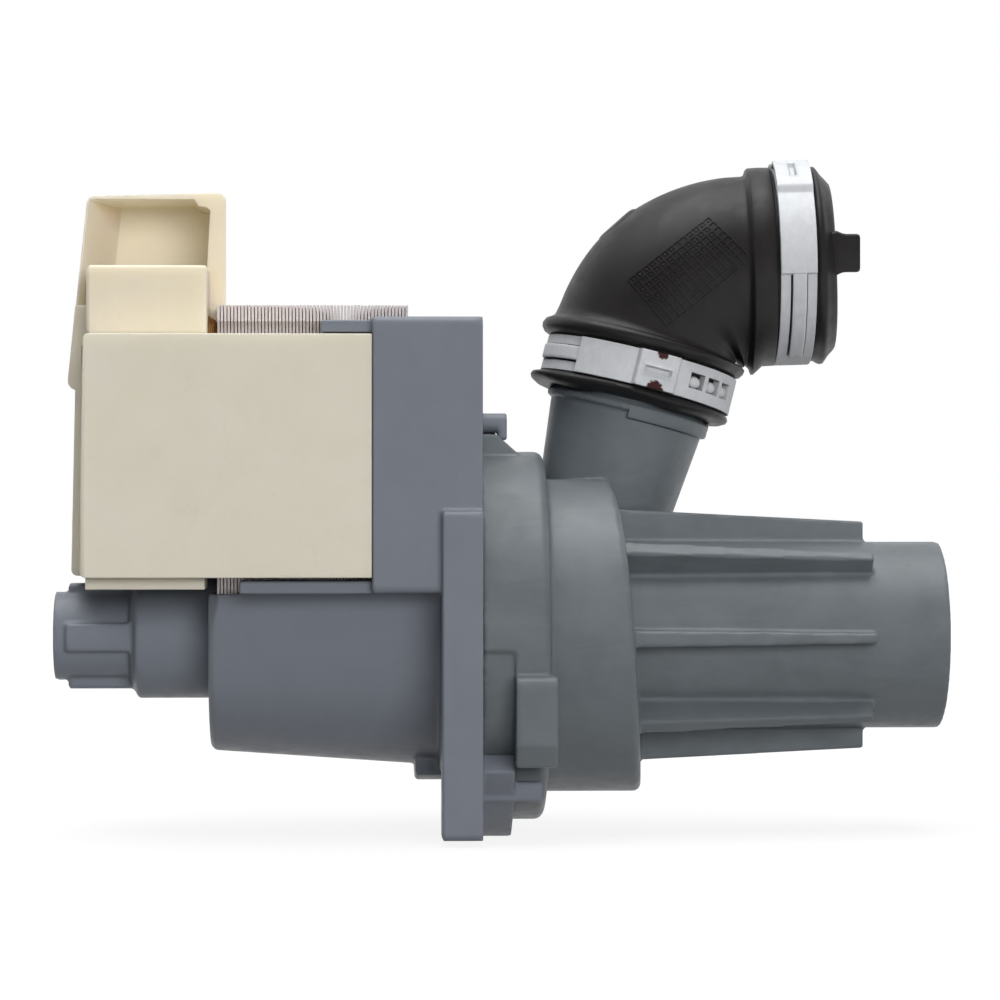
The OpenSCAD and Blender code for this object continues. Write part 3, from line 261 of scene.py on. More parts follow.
def metal(name, colour, rough=0.4, grain=(1, 1, 1), mottle=0.10, metallic=0.9, stain=0.0, round_edges=0.12,
          marks=(), corner_shade=0.55):
    """Zinc plated or ground steel: mottled plating, hairlines along the rolling direction, painted shade in
    corners.

    marks are dabs of dark red paint, given as (point, radius).
    """
    s = Surface(name)
    gray = s.add("ShaderNodeRGBToBW")
    s.link(s.cells(0.8, out="Color"), gray.inputs[0])
    plate = s.math("ADD", s.math("MULTIPLY", gray.outputs[0], 0.35), s.noise(0.55, 5, 0.65))
    tone = s.mix(s.remap(plate, 0.4, 0.9), shade(colour, 1 - mottle), shade(colour, 1 + mottle))
    lines = s.noise(1.6, 5, 0.75, 0.0, s.stretched(*grain))
    tone = s.mix(s.remap(lines, 0.35, 0.65, 0.0, 0.25), tone, shade(colour, 0.82))
    if stain:
        tone = s.mix(s.remap(s.noise(0.8, 4, 0.7), 0.6, 0.75, 0.0, stain), tone, srgb(96, 84, 72))
    # Painted shade: the colour darkens in corners, where the ambient occlusion node finds them.
    tone = s.mix(s.remap(s.hollows(1.6), 0.15, 0.8, corner_shade, 0.0), tone, shade(colour, 0.4))
    for point, radius in marks:
        ragged = s.math("ADD", s.near(point), s.remap(s.noise(1.8, 3), 0.3, 0.7, -0.3, 0.3))
        tone = s.mix(s.remap(ragged, radius - 0.15, radius + 0.1, 1.0, 0.0), tone, srgb(58, 22, 25))
    gloss = s.remap(lines, 0.3, 0.7, rough - 0.08, rough + 0.10)
    s.bump(s.math("ADD", lines, plate), 0.22, 0.015, round_edges)
    return s.finish(tone, gloss, metallic)


def copper_wire(name):
    s = Surface(name)
    tone = s.mix(s.remap(s.noise(0.5, 4), 0.35, 0.65), srgb(128, 84, 42), srgb(170, 124, 70))
    # Painted shade: darker between the turns of wire, where the ambient occlusion node finds hollows.
    tone = s.mix(s.remap(s.hollows(1.2), 0.2, 0.9, 0.7, 0.0), tone, srgb(58, 36, 18))
    s.bump(s.noise(2.0, 3), 0.2, 0.02)
    return s.finish(tone, s.remap(s.noise(0.8, 3), 0.3, 0.7, 0.28, 0.42), 0.4, Coat_Weight=0.4)


casing_grey = srgb(98, 104, 108)
motor_grey = srgb(113, 118, 127)
cream = srgb(217, 210, 192)
cream_light = srgb(228, 216, 195)
band_grey = srgb(206, 208, 211)

MATERIALS = {
    "casing_plastic": moulded_plastic("casing_plastic", casing_grey, 0.42, 0.10, 0.06, 0.22, 0.30, (0.25, 1, 1),
                                      streak=0.6),
    "motor_plastic": moulded_plastic("motor_plastic", motor_grey, 0.42, 0.03, 0.04, 0.18, 0.30, (1, 1, 0.3)),
    "cream_plastic": moulded_plastic("cream_plastic", cream, 0.48, 0.018, 0.012, 0.25, 0.06, (1, 1, 0.4),
                                     tint=srgb(216, 210, 194), specks=0.30, specular=0.35, glow=0.25,
                                     smudges=[((-142.5, -33.4, 25.0), 4.5, 0.13),
                                              ((-149.8, -33.4, 34.2), 3.5, 0.10)]),
    "connector_plastic": moulded_plastic("connector_plastic", cream_light, 0.46, 0.02, 0.012, 0.25, 0.05,
                                         (1, 1, 0.4), tint=srgb(226, 214, 189), specks=0.2, specular=0.35,
                                         glow=0.5),
    "impeller_plastic": moulded_plastic("impeller_plastic", srgb(222, 218, 204), 0.40, 0.03, 0.02, 0.10, 0.35),
    "cutout_plastic": moulded_plastic("cutout_plastic", srgb(48, 48, 50), 0.40, 0.05, 0.05, 0.15, 0.2),
    "hose_rubber": rubber("hose_rubber", srgb(31, 29, 30), 0.46, 0.35, 0.3),
    "rubber": rubber("rubber", srgb(30, 29, 29), 0.6, 0.3),
    "bearing_carbon": metal("bearing_carbon", srgb(70, 71, 74), 0.5, mottle=0.2, metallic=0.3),
    "magnet_ferrite": metal("magnet_ferrite", srgb(62, 62, 66), 0.6, mottle=0.12, metallic=0.2),
    "core_steel": metal("core_steel", srgb(222, 213, 212), 0.46, (0.2, 1, 1), 0.05, 0.4, 0.12, 0.05, corner_shade=0.25),
    "band_steel": metal("band_steel", band_grey, 0.60, (1, 0.3, 0.3), 0.05, 0.2),
    "bright_steel": metal("bright_steel", srgb(214, 214, 216), 0.25, (0.1, 1, 1), 0.03, 1.0),
    "winding_copper": copper_wire("winding_copper"),
}


def dress(obj, material):
    obj.data.materials.clear()
    obj.data.materials.append(material)


# Pieces

class Shells:
    """Points and faces of one piece, gathered shell by shell."""

    def __init__(self):
        self.verts = []
        self.faces = []

    def add(self, verts, faces):
        start = len(self.verts)
        self.verts += [tuple(v) for v in verts]
        self.faces += [tuple(start + i for i in f) for f in faces]

    def loft(self, rings, closed=False):
        """Skin over closed rings of points, capped at both ends unless the rings go round."""
        n = len(rings[0])
        count = len(rings)
        faces = []
        for i in range(count if closed else count - 1):
            j = (i + 1) % count
            faces += [(i * n + k, i * n + (k + 1) % n, j * n + (k + 1) % n, j * n + k) for k in range(n)]
        if not closed:
            faces += [tuple(range(n - 1, -1, -1)), tuple((count - 1) * n + k for k in range(n))]
        self.add([p for ring in rings for p in ring], faces)

    def sheet(self, place, us, ws, lo, hi, keep=None, closed=False):
        """A bent sheet between lo(u, w) and hi(u, w), with holes where keep(u, w) is false."""
        rows = len(us)
        cols = len(ws)
        spans = rows if closed else rows - 1

        def mid(i, j):
            u1 = us[(i + 1) % rows] + (360 if i + 1 == rows else 0)
            return (us[i] + u1) / 2, (ws[j] + ws[j + 1]) / 2

        kept = {(i, j) for i in range(spans) for j in range(cols - 1) if keep is None or keep(*mid(i, j))}
        verts = [place(edge(u, w), u, w) for u in us for w in ws for edge in (lo, hi)]
        faces = []
        for i, j in sorted(kept):
            i1 = (i + 1) % rows
            a, b, c, d = ((i * cols + j) * 2, (i1 * cols + j) * 2, (i1 * cols + j + 1) * 2, (i * cols + j + 1) * 2)
            faces += [(a, d, c, b), (a + 1, b + 1, c + 1, d + 1)]
            before = ((i - 1) % rows if closed else i - 1, j)
            after = (i1 if closed else i + 1, j)
            for side, p, q in ((before, d, a), (after, b, c), ((i, j - 1), a, b), ((i, j + 1), c, d)):
                if side not in kept:
                    faces.append((p, q, q + 1, p + 1))
        self.add(verts, faces)


def piece(name, shells, slot, replaces=(), smooth=40, material=None):
    """A new mesh piece from shells in millimetres."""
    mesh = bpy.data.meshes.new(name)
    mesh.from_pydata((np.asarray(shells.verts, float) * MM).tolist(), [], [list(f) for f in shells.faces])
    return settle(bpy.data.objects.new(name, mesh), slot, replaces, smooth, material)


def settle(obj, slot, replaces=(), smooth=40, material=None):
    """Put a piece in the scene with clean faces and its material; every new piece rides on the pump's body."""
    if obj.name not in bpy.context.scene.collection.objects:
        bpy.context.scene.collection.objects.link(obj)
    clean_mesh(obj.data, smooth)
    dress(obj, material or MATERIALS[slot])
    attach(obj, "pump")
    if replaces:
        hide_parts(*replaces)
    return obj


def clean_mesh(mesh, degrees):
    """Drop unused points, turn the faces outwards, and shade smooth up to an angle."""
    bm = bmesh.new()
    bm.from_mesh(mesh)
    bmesh.ops.delete(bm, geom=[v for v in bm.verts if not v.link_faces], context="VERTS")
    bmesh.ops.recalc_face_normals(bm, faces=bm.faces)
    for face in bm.faces:
        face.smooth = True
    for edge in bm.edges:
        edge.smooth = len(edge.link_faces) == 2 and edge.calc_face_angle(0) < math.radians(degrees)
    bm.to_mesh(mesh)
    bm.free()


def smooth_surface(mesh):
    """A function that gives the nearest points on a mesh, bent to follow its shading normals."""
    mesh.calc_loop_triangles()
    count = len(mesh.loop_triangles)
    corners = np.empty(count * 3, int)
    loops = np.empty(count * 3, int)
    mesh.loop_triangles.foreach_get("vertices", corners)
    mesh.loop_triangles.foreach_get("loops", loops)
    points = np.empty(len(mesh.vertices) * 3)
    mesh.vertices.foreach_get("co", points)
    normals = np.empty(len(mesh.loops) * 3)
    mesh.corner_normals.foreach_get("vector", normals)
    points = points.reshape(-1, 3)
    corners = corners.reshape(-1, 3)
    at = points[corners]
    normals = normals.reshape(-1, 3)[loops.reshape(-1, 3)]
    tree = BVHTree.FromPolygons([Vector(p) for p in points], corners.tolist())

    def nearest(co):
        hits = [tree.find_nearest(Vector(p)) for p in co]
        flat = np.array([tuple(h[0]) for h in hits])
        which = np.array([h[2] for h in hits])
        p = at[which]
        e0, e1, d = p[:, 1] - p[:, 0], p[:, 2] - p[:, 0], flat - p[:, 0]
        d00, d01, d11 = (e0 * e0).sum(1), (e0 * e1).sum(1), (e1 * e1).sum(1)
        d20, d21 = (d * e0).sum(1), (d * e1).sum(1)
        below = d00 * d11 - d01 * d01
        below[below < 1e-24] = 1.0
        b1 = np.clip((d11 * d20 - d01 * d21) / below, 0, 1)
        b2 = np.clip((d00 * d21 - d01 * d20) / below, 0, 1)
        weights = np.stack([1 - b1 - b2, b1, b2], 1)
        off = ((flat[:, None, :] - p) * normals[which]).sum(2)
        bent = flat[:, None, :] - off[:, :, None] * normals[which]
        return 0.25 * flat + 0.75 * (weights[:, :, None] * bent).sum(1)

    return nearest


VOXEL = 0.40
RELAX_STEPS = 5
SNAP_WITHIN = 0.05
SNAP_FADES = 0.08


def moulding(name, node, slot):
    """A curved moulded piece: the CAD node's own form with every edge and inner corner rounded.

    Remeshing and relaxing round the form off, and then each point that is still close to the node's smooth surface
    goes back onto it.
    """
    source = frame["nodes"][node]
    obj = bpy.data.objects.new(name, source.data.copy())
    bpy.context.scene.collection.objects.link(obj)
    remesh = obj.modifiers.new("remesh", "REMESH")
    remesh.mode = "VOXEL"
    remesh.voxel_size = VOXEL * MM
    relax = obj.modifiers.new("relax", "SMOOTH")
    relax.factor = 0.5
    relax.iterations = RELAX_STEPS
    made = bake(obj, name)
    co = np.empty(len(made.vertices) * 3)
    made.vertices.foreach_get("co", co)
    co = co.reshape(-1, 3)
    target = smooth_surface(source.data)(co)
    away = np.linalg.norm(target - co, axis=1) / MM
    hold = np.clip((away - SNAP_WITHIN) / SNAP_FADES, 0, 1)
    hold = (hold * hold * (3 - 2 * hold))[:, None]
    made.vertices.foreach_set("co", (co * hold + target * (1 - hold)).ravel())
    return settle(obj, slot, (node,), 60)


BEVEL = 0.45


def bevelled(name, node, slot, reshape=None):
    """A boxy moulded piece: the CAD node's own flat faces, with every edge rounded by a bevel."""
    obj = bpy.data.objects.new(name, frame["nodes"][node].data.copy())
    bpy.context.scene.collection.objects.link(obj)
    bm = bmesh.new()
    bm.from_mesh(obj.data)
    bmesh.ops.remove_doubles(bm, verts=bm.verts, dist=0.002 * MM)
    bmesh.ops.dissolve_limit(bm, angle_limit=math.radians(1), verts=bm.verts, edges=bm.edges)
    if reshape:
        for vert in bm.verts:
            vert.co = Vector(reshape(*(c / MM for c in vert.co))) * MM
    bm.to_mesh(obj.data)
    bm.free()
    bevel = obj.modifiers.new("bevel", "BEVEL")
    bevel.width = BEVEL * MM
    bevel.segments = 3
    bevel.limit_method = "ANGLE"
    bevel.angle_limit = math.radians(30)
    bake(obj, name)
    return settle(obj, slot, (node,), 14)


PLUG_MOUTH_Y = -8.0
PLUG_HOLLOW_X = (-165, -142)
PLUG_HOLLOW_Z = (58.2, 82.4)
PLUG_LEFT_X = -161
PLUG_LEAN = 1.05
PLUG_RAMP = 4.2
PLUG_RISE = 0.5


def open_plug(x, y, z):
    """The plug housing's hollow widens to its mouth, at its left wall and its top."""
    if min(abs(z - h) for h in PLUG_HOLLOW_Z) < 0.03 and PLUG_HOLLOW_X[0] < x < PLUG_HOLLOW_X[1]:
        mouth = y < PLUG_MOUTH_Y + 0.1
        if x < PLUG_LEFT_X:
            x += -PLUG_LEAN if mouth else PLUG_RAMP
        z += PLUG_RISE if mouth and z > PLUG_HOLLOW_Z[1] - 0.1 else 0
    return x, y, z


STRIP_FOOT_Z = 56.0
STRIP_TOP_Z = 61.0
STRIP_SIDE_X = -163.5
STRIP_WIDER = 1.55
STRIP_TALLER = 0.85


def wider_strip(x, y, z):
    """The rear cover's strip beside the terminal block reaches over to the block, and a little higher."""
    if z > STRIP_FOOT_Z and abs(x - STRIP_SIDE_X) < 0.1:
        x += STRIP_WIDER
    if z > STRIP_TOP_Z:
        z += STRIP_TALLER
    return x, y, z


def bake(obj, name):
    """Applies an object's modifiers to its mesh."""
    bpy.context.view_layer.update()
    made = bpy.data.meshes.new_from_object(obj.evaluated_get(bpy.context.evaluated_depsgraph_get()))
    obj.modifiers.clear()
    obj.data = made
    made.name = name
    return made


MOULDINGS = {
    "casing_moulding": ("pump_casing", "casing_plastic"),
    "housing_moulding": ("motor_housing", "motor_plastic"),
    "can_moulding": ("rotor_can", "motor_plastic"),
}
BOXY_MOULDINGS = {
    "front_cover_moulding": ("front_coil_cover", "cream_plastic"),
    "rear_cover_moulding": ("rear_coil_cover", "cream_plastic", wider_strip),
    "block_moulding": ("terminal_block", "connector_plastic"),
    "plug_moulding": ("connector_shroud", "connector_plastic", open_plug),
}


# Hose

BACK = np.array((0, 1, 0))
LEAN = math.radians(14)
PIPE_ALONG = np.array((math.sin(LEAN), 0, math.cos(LEAN)))
PIPE_RIGHT = np.array((math.cos(LEAN), 0, -math.sin(LEAN)))
COLLAR = np.array((-58.8, 16.0, 42.2))
HOSE_START = 2.5
CUFF = 12.1
BEND = np.array((-35.28, 16.0, 51.38))
BEND_R = 20.6
HOSE_R = 18.0
HOSE_BORE = 14.8
SWEEP = math.radians(74.2)
ARC = BEND_R * SWEEP
FREE = 16.3
FREE_BORE = 15.3
PIPE_BORE = 15.22
FREE_START = CUFF + ARC + 1.15
FREE_YAW = 0.044
LOWER_PITCH = 0.038
AROUND = 144
OUTSIDE_R = 16
LIP_WAVE = 0.42
LIP_WAVES_END = 2.4
LOWER_LIP_SHIFT = 0.4
RIPPLE = 0.05
INNER_BULGE = 2.0
FREE_CUFF_GROWTH = 0.25
FREE_LIP_LEAN = 0.35

# Rings of the skin as (length along the hose, radius)
LOWER_PROFILE = [(0.0, 17.0), (0.3, 18.6), (0.9, 19.7), (1.4, 19.9), (1.9, 19.7), (2.3, 18.9), (2.5, 17.8),
                 (6.0, 17.75), (9.6, 17.8), (9.95, 18.8), (10.4, 19.8), (11.1, 20.3), (11.8, 20.4), (12.4, 20.0),
                 (12.7, 19.1), (13.0, 18.5), (14.0, 18.2)]
FREE_PROFILE = [(-0.9, 17.62), (-0.35, 17.9), (0.0, 18.9), (0.35, 19.2), (2.2, 19.3), (4.3, 19.25), (4.6, 19.05),
                (4.7, 18.6),
                (6.0, 18.55), (12.3, 18.55), (12.45, 18.75), (12.9, 19.1), (13.4, 19.2), (13.8, 19.1), (14.2, 18.6),
                (14.6, 18.0), (15.1, 17.4), (15.7, 16.8), (16.1, 16.3), (16.2, 15.8), (16.0, 15.45),
                (15.5, FREE_BORE),
                (8.0, FREE_BORE), (1.6, FREE_BORE), (1.4, HOSE_BORE), (0.4, HOSE_BORE)]
INNER_PROFILE = [(CUFF, HOSE_BORE), (CUFF - 0.05, PIPE_BORE), (6.0, PIPE_BORE), (0.4, PIPE_BORE), (0.0, 15.6)]


def step(x, a, b):
    t = min(1, max(0, (x - a) / (b - a)))
    return t * t * (3 - 2 * t)


def hose_axis(s):
    """Centre of the hose at a length from its lower edge, with the directions out of the bend and along."""
    turn = LEAN + min(max(s - CUFF, 0) / BEND_R, SWEEP)
    out = np.array((-math.cos(turn), 0, math.sin(turn)))
    along = np.array((math.sin(turn), 0, math.cos(turn)))
    if s <= CUFF:
        return COLLAR + (HOSE_START + s) * along, out, along
    return BEND + BEND_R * out + max(s - CUFF - ARC, 0) * along, out, along


def fullness(s, a):
    """What the bend's skin stands out from a plain torus: it narrows to the free cuff and is fuller inside."""
    if not 14.5 < s < FREE_START + 1.5:
        return 0.0
    narrow = 0.15 - 0.55 * step(s, 18, FREE_START - 1.6)
    inside = max(0, -math.cos(a)) ** 2 * step(s, 22, 30) * (1 - step(s, FREE_START, FREE_START + 1.5))
    return (narrow if s < FREE_START - 1 else 0) + INNER_BULGE * inside


def turned(s, a, r):
    """How far the planes of the two cuffs lean along the hose at an angle round it."""
    free = -FREE_YAW * r * math.sin(a) * step(s, FREE_START - 8, FREE_START)
    return free + LOWER_PITCH * r * math.sin(a) * (1 - step(s, CUFF, CUFF + 8))


def lip_wave(s, a):
    """The lower lip hangs in soft waves."""
    return LIP_WAVE * math.sin(5 * a + 0.7) * max(0, 1 - s / LIP_WAVES_END) * (0.4 + 0.6 * math.cos(a - 0.9))


def hose_ring(s, r):
    """Ring of points round the hose; the outside has lips that wave and lean, and cuffs a little off centre."""
    centre, out, along = hose_axis(s)
    ring = []
    for k in range(AROUND):
        a = 2 * math.pi * k / AROUND
        shift = turned(s, a, r)
        fuller = RIPPLE * math.sin(3 * a + 0.35 * s) * min(1, (s - 15) / 4) if 15 < s < CUFF + ARC - 1 else 0
        if r > OUTSIDE_R:
            shift += lip_wave(s, a) - FREE_LIP_LEAN * math.cos(a) * step(s, FREE_START + 12, FREE_START + 13)
            fuller += fullness(s, a) + LOWER_LIP_SHIFT * math.cos(a) * (1 - step(s, 1.9, 2.5))
            fuller += FREE_CUFF_GROWTH * (1 - math.cos(a)) * step(s, FREE_START - 1.5, FREE_START)
        ring.append(centre + (r + fuller) * (math.cos(a) * out - math.sin(a) * BACK) + shift * along)
    return ring


def hose_skin(shells):
    bend = np.linspace(15.2, FREE_START - 1.6, 44)
    rings = [hose_ring(s, r) for s, r in LOWER_PROFILE]
    rings += [hose_ring(s, HOSE_R) for s in bend]
    rings += [hose_ring(FREE_START + s, r) for s, r in FREE_PROFILE]
    rings += [hose_ring(s, HOSE_BORE) for s in reversed(bend[::2])]
    rings += [hose_ring(s, r) for s, r in INNER_PROFILE]
    shells.loft(rings, closed=True)


def rounded_ring(x, y0, y1, z0, z1, r, steps=5):
    """A rounded rectangle across X, in points that go round."""
    ring = []
    for cy, cz, a0 in ((y1 - r, z1 - r, 0), (y0 + r, z1 - r, 90), (y0 + r, z0 + r, 180), (y1 - r, z0 + r, 270)):
        for i in range(steps):
            a = math.radians(a0 + 90 * i / (steps - 1))
            ring.append((x, cy + r * math.cos(a), cz + r * math.sin(a)))
    return ring


NUB_Y = (-1.0, 0.6)


def hose_nub(shells):
    """Tab on the rim that turns the hose the right way round, with a filleted root."""
    rim = BEND[0] + FREE
    middle = BEND[2] + BEND_R + 1.6
    near, far = NUB_Y
    stations = [(-1.3, 4.0, 0.2), (-0.5, 4.3, 0.1), (-0.1, 4.2, 0.05), (0.3, 4.0, 0), (0.8, 3.8, 0), (1.5, 3.7, 0),
                (3.5, 3.7, 0), (3.9, 3.6, 0.08), (4.1, 3.45, 0.2), (4.2, 3.15, 0.42)]
    shells.loft([rounded_ring(rim + x, near + inset, far - inset, middle - half, middle + half,
                              0.7 if inset < 0.3 else 0.45) for x, half, inset in stations])


PAD_AT = CUFF + 0.465 * ARC


def hose_pad(shells):
    """Flat round pad on the outer side of the bend, where the mould was filled."""
    centre, out, along = hose_axis(PAD_AT)
    profile = [(0.3, -2.2), (4.8, -2.2), (4.8, -0.3), (4.4, -0.05), (3.9, 0.1), (3.4, 0.16), (1.8, 0.18),
               (0.3, 0.18)]
    shells.loft([[centre + (HOSE_R + h - (q * math.sin(a)) ** 2 / (2 * HOSE_R)) * out
                  + q * (math.cos(a) * along + math.sin(a) * BACK)
                  for a in np.linspace(0, 2 * math.pi, 40, endpoint=False)] for q, h in profile])


# Corners of the grid in XZ, and its cells across and down
GRID = [np.array(p) for p in ((-59.55, 68.38), (-43.94, 80.53), (-35.84, 72.29), (-52.23, 59.18))]
GRID_CELLS = (13, 9)
GRID_BAR_HALF = 0.19
GRID_BAR_STEPS = 34
FULL_ROWS = 6


def on_bend(x, z, lift):
    """Point of the bend's near side in front of a point of the XZ plane, with the normal there."""
    away = np.array((x - BEND[0], z - BEND[2]))
    reach = np.linalg.norm(away)
    across = reach - BEND_R
    s = CUFF + BEND_R * (math.atan2(away[1], -away[0]) - LEAN)
    r = HOSE_R + fullness(s, math.acos(max(-1, min(1, across / HOSE_R))))
    depth = math.sqrt(max(r ** 2 - across ** 2, 0.01))
    normal = np.array((across * away[0] / reach, -depth, across * away[1] / reach)) / r
    return np.array((x, BEND[1] - depth, z)) + lift * normal, normal


def grid_point(u, v):
    a, b, c, d = GRID
    return (a * (1 - u) + b * u) * (1 - v) + (d * (1 - u) + c * u) * v


def hose_grid(shells):
    """Raised blank grid on the bend's near side, with low pips in most cells of its upper rows."""
    low, high = -0.15, 0.24
    section = ((-1.2, low), (-0.6, high), (0.6, high), (1.2, low))

    def bar(start, end):
        way = (end - start) / np.linalg.norm(end - start)
        aside = GRID_BAR_HALF * np.array((-way[1], way[0]))
        shells.loft([[on_bend(*(start + (end - start) * i / GRID_BAR_STEPS + k * aside), lift)[0]
                      for k, lift in section] for i in range(GRID_BAR_STEPS + 1)])

    across, down = GRID_CELLS
    for i in range(across + 1):
        bar(grid_point(i / across, 0), grid_point(i / across, 1))
    for j in range(down + 1):
        bar(grid_point(0, j / down), grid_point(1, j / down))
    pick = random.Random(7)
    for i in range(across):
        for j in range(down):
            if pick.random() < (0.8 if j < FULL_ROWS else 0.08):
                pip(shells, grid_point((i + 0.5) / across, (j + 0.5) / down), 0.26 + 0.14 * pick.random())


def pip(shells, where, r):
    """Low round dot on the bend's near side."""
    centre, normal = on_bend(*where, 0)
    first = Vector(normal).orthogonal().normalized()
    second = Vector(normal).cross(first)
    rings = []
    for q, h in ((1.1, -0.12), (1.0, 0.04), (0.75, 0.15), (0.3, 0.19)):
        rings.append([centre + h * normal + q * r * (math.cos(a) * np.array(first) + math.sin(a) * np.array(second))
                      for a in np.linspace(0, 2 * math.pi, 10, endpoint=False)])
    shells.loft(rings)


def make_hose():
    shells = Shells()
    hose_skin(shells)
    hose_nub(shells)
    hose_pad(shells)
    hose_grid(shells)
    piece("elbow_moulding", shells, "hose_rubber", replaces=("elbow_hose",), smooth=50)


COLLAR_TURN = (-93, -10)
COLLAR_SECTION = [(14.6, -0.7), (15.5, -0.7), (16.0, -0.5), (16.2, -0.1), (16.2, 1.9), (14.6, 1.9)]


def make_collar():
    """Thicker part of the outlet pipe's collar, which ends in a step on the near side."""
    shells = Shells()
    shells.loft([[COLLAR + h * PIPE_ALONG + r * (math.cos(b) * PIPE_RIGHT + math.sin(b) * BACK)
                  for r, h in COLLAR_SECTION] for b in np.radians(np.linspace(*COLLAR_TURN, 40))])
    piece("pipe_collar", shells, "casing_plastic", smooth=30)


# Band clamps

# Turns round a band are degrees from its ear, places across it are millimetres from its middle
BAND_T = 0.78
BAND_HALF = 3.5
LOWER_R, LOWER_FOOT, LOWER_LIFT = 17.83, (10.6, 13.2), 1.5
UPPER_R, UPPER_FOOT, UPPER_LIFT = 18.45, (14.3, 19.3), 1.1
PINCH = 0.16
GROOVE_MIDDLE = -0.15
GROOVE_DEPTH = 0.62
GROOVE_RIM = 0.18
EAR_SINK = 0.12
TONGUE_LIFT = 0.62
WINDOWS = [(21 + 13.4 * i, 21 + 13.4 * i + 10.4) for i in range(3)]
WINDOW_W = (-1.3, 1.7)
TONGUE_W = (-1.2, 1.5)
SLOTS_W = ((-1.6, -1.2), (1.5, 1.7))
BAND_WS = [-3.5, -3.38, -3.0, -2.4, -1.9, -1.6, -1.3, -1.2, -0.9, -0.6, -0.3, 0, 0.3, 0.6, 0.9, 1.2, 1.5, 1.7, 1.9,
           2.4, 3.0, 3.38, 3.5]


def in_window(a, w):
    return WINDOW_W[0] < w < WINDOW_W[1] and any(lo < a < hi for lo, hi in WINDOWS)


def edge_drop(w):
    return 0.1 if abs(w) > BAND_HALF - 0.05 else 0.0


def ear_lift(a, w, foot, lift):
    """Height of the ear over the band, with its pinched feet and the groove stamped into its top."""
    rise = lift * (1 - step(abs(a), *foot))
    pinch = PINCH * math.exp(-((abs(a) - foot[1] - 1) / 1.1) ** 2)
    across = abs(w - GROOVE_MIDDLE)
    groove = (1 - step(abs(a), 6.6, 7.8)) * (1 - step(across, 0.35, 0.75))
    rim = (1 - step(abs(a), 7.6, 9.0)) * (1 - step(across, 0.8, 1.3))
    return rise - pinch - GROOVE_DEPTH * groove + GROOVE_RIM * rim * (1 - groove) - EAR_SINK


LAYER_FRONT = 84.0


def make_clamp(name, node, place, band_r, foot, lift, back, tongue, material=None):
    """Band clamp: inner band, outer layer with ear and windows, hooks in the windows, and the end tongue.

    back is the turn at which the outer layer ends behind the ear, and tongue that of the tongue's end.
    """
    shells = Shells()
    outer_r = band_r + BAND_T + 0.04

    def outer_lift(a, w):
        return outer_r + (max(0.0, ear_lift(a, w, foot, lift)) if abs(a) < foot[1] + 4 else 0.0)

    special = [lo for lo, hi in WINDOWS] + [hi for lo, hi in WINDOWS]
    full = sorted(set([float(a) for a in range(-180, 180, 2)] + special + [-float(back), -float(tongue)]))
    shells.sheet(place, full, BAND_WS, lambda a, w: band_r, lambda a, w: band_r + BAND_T - edge_drop(w),
                 lambda a, w: not in_window(a, w) and not (
                     -tongue < a < -back - 1 and any(lo < w < hi for lo, hi in SLOTS_W)),
                 closed=True)
    fine = [a / 2 for a in range(-46, 47)]
    layer = sorted(set([float(a) for a in range(-int(back), int(LAYER_FRONT) + 1, 2)] + fine + special
                       + [-float(back), LAYER_FRONT]))
    shells.sheet(place, layer, BAND_WS, outer_lift, lambda a, w: outer_lift(a, w) + BAND_T - 0.06 - edge_drop(w),
                 lambda a, w: not in_window(a, w))
    strip = [float(a) for a in np.linspace(-tongue, 2 - back, 26)]
    widths = [w for w in BAND_WS if TONGUE_W[0] <= w <= TONGUE_W[1]]
    shells.sheet(place, strip, widths, lambda a, w: band_r + BAND_T - 0.05,
                 lambda a, w: band_r + BAND_T + TONGUE_LIFT - 0.12 * (w in (widths[0], widths[-1]))
                 - 0.2 * (1 - step(a, -tongue, 2 - tongue)))
    for lo, hi in WINDOWS:
        hook(shells, place, band_r, lo + 0.42 * (hi - lo), hi - lo)
    piece(name, shells, "band_steel", replaces=(node,), smooth=35, material=material)


def hook(shells, place, band_r, a0, span):
    """Half dome that the band's window catches on, open towards the window's far and upper sides."""
    w0 = WINDOW_W[0] + 1.15
    half_a, half_w = 0.46 * span, 1.2
    rings = []
    for q, h in ((1.0, -0.55), (1.0, -0.1), (0.93, 0.22), (0.78, 0.48), (0.55, 0.66), (0.25, 0.75)):
        rings.append([place(band_r + BAND_T + h, a0 + q * half_a * math.cos(t), w0 + q * half_w * math.sin(t))
                      for t in np.linspace(0, 2 * math.pi, 24, endpoint=False)])
    shells.loft(rings)


LOWER_BAND_AT = HOSE_START + 6.05
LOWER_EAR = -83.0
UPPER_BAND_AT = FREE_START + 8.4
UPPER_EAR = 31.0


def on_lower(r, a, w):
    """Point on the lower band, at a radius, a turn from its ear and a place across it."""
    b = math.radians(LOWER_EAR + a)
    w -= LOWER_PITCH * r * math.sin(b)
    return COLLAR + (LOWER_BAND_AT + w) * PIPE_ALONG + r * (math.cos(b) * PIPE_RIGHT + math.sin(b) * BACK)


def on_upper(r, a, w):
    """The same on the upper band, which grows with the free cuff and leans less than it."""
    centre, out, along = hose_axis(UPPER_BAND_AT + w)
    b = math.radians(UPPER_EAR - a)
    growth = FREE_CUFF_GROWTH * (1 - math.cos(b))
    r += growth
    lean = 0.4 * turned(UPPER_BAND_AT, b, r) - growth
    return centre + r * (math.cos(b) * out - math.sin(b) * BACK) + lean * along


def make_clamps():
    ear_top = LOWER_R + 2 * BAND_T + LOWER_LIFT
    marks = [(tuple(on_lower(ear_top, 0.5, 3.5)), 1.15), (tuple(on_lower(ear_top, 0.0, -3.6)), 1.65)]
    marked = metal("marked_steel", band_grey, 0.60, (1, 0.3, 0.3), 0.05, 0.2, marks=marks)
    make_clamp("lower_band", "lower_clamp", on_lower, LOWER_R, LOWER_FOOT, LOWER_LIFT, 49, 91, material=marked)
    make_clamp("upper_band", "upper_clamp", on_upper, UPPER_R, UPPER_FOOT, UPPER_LIFT, 67.0, 125.5)


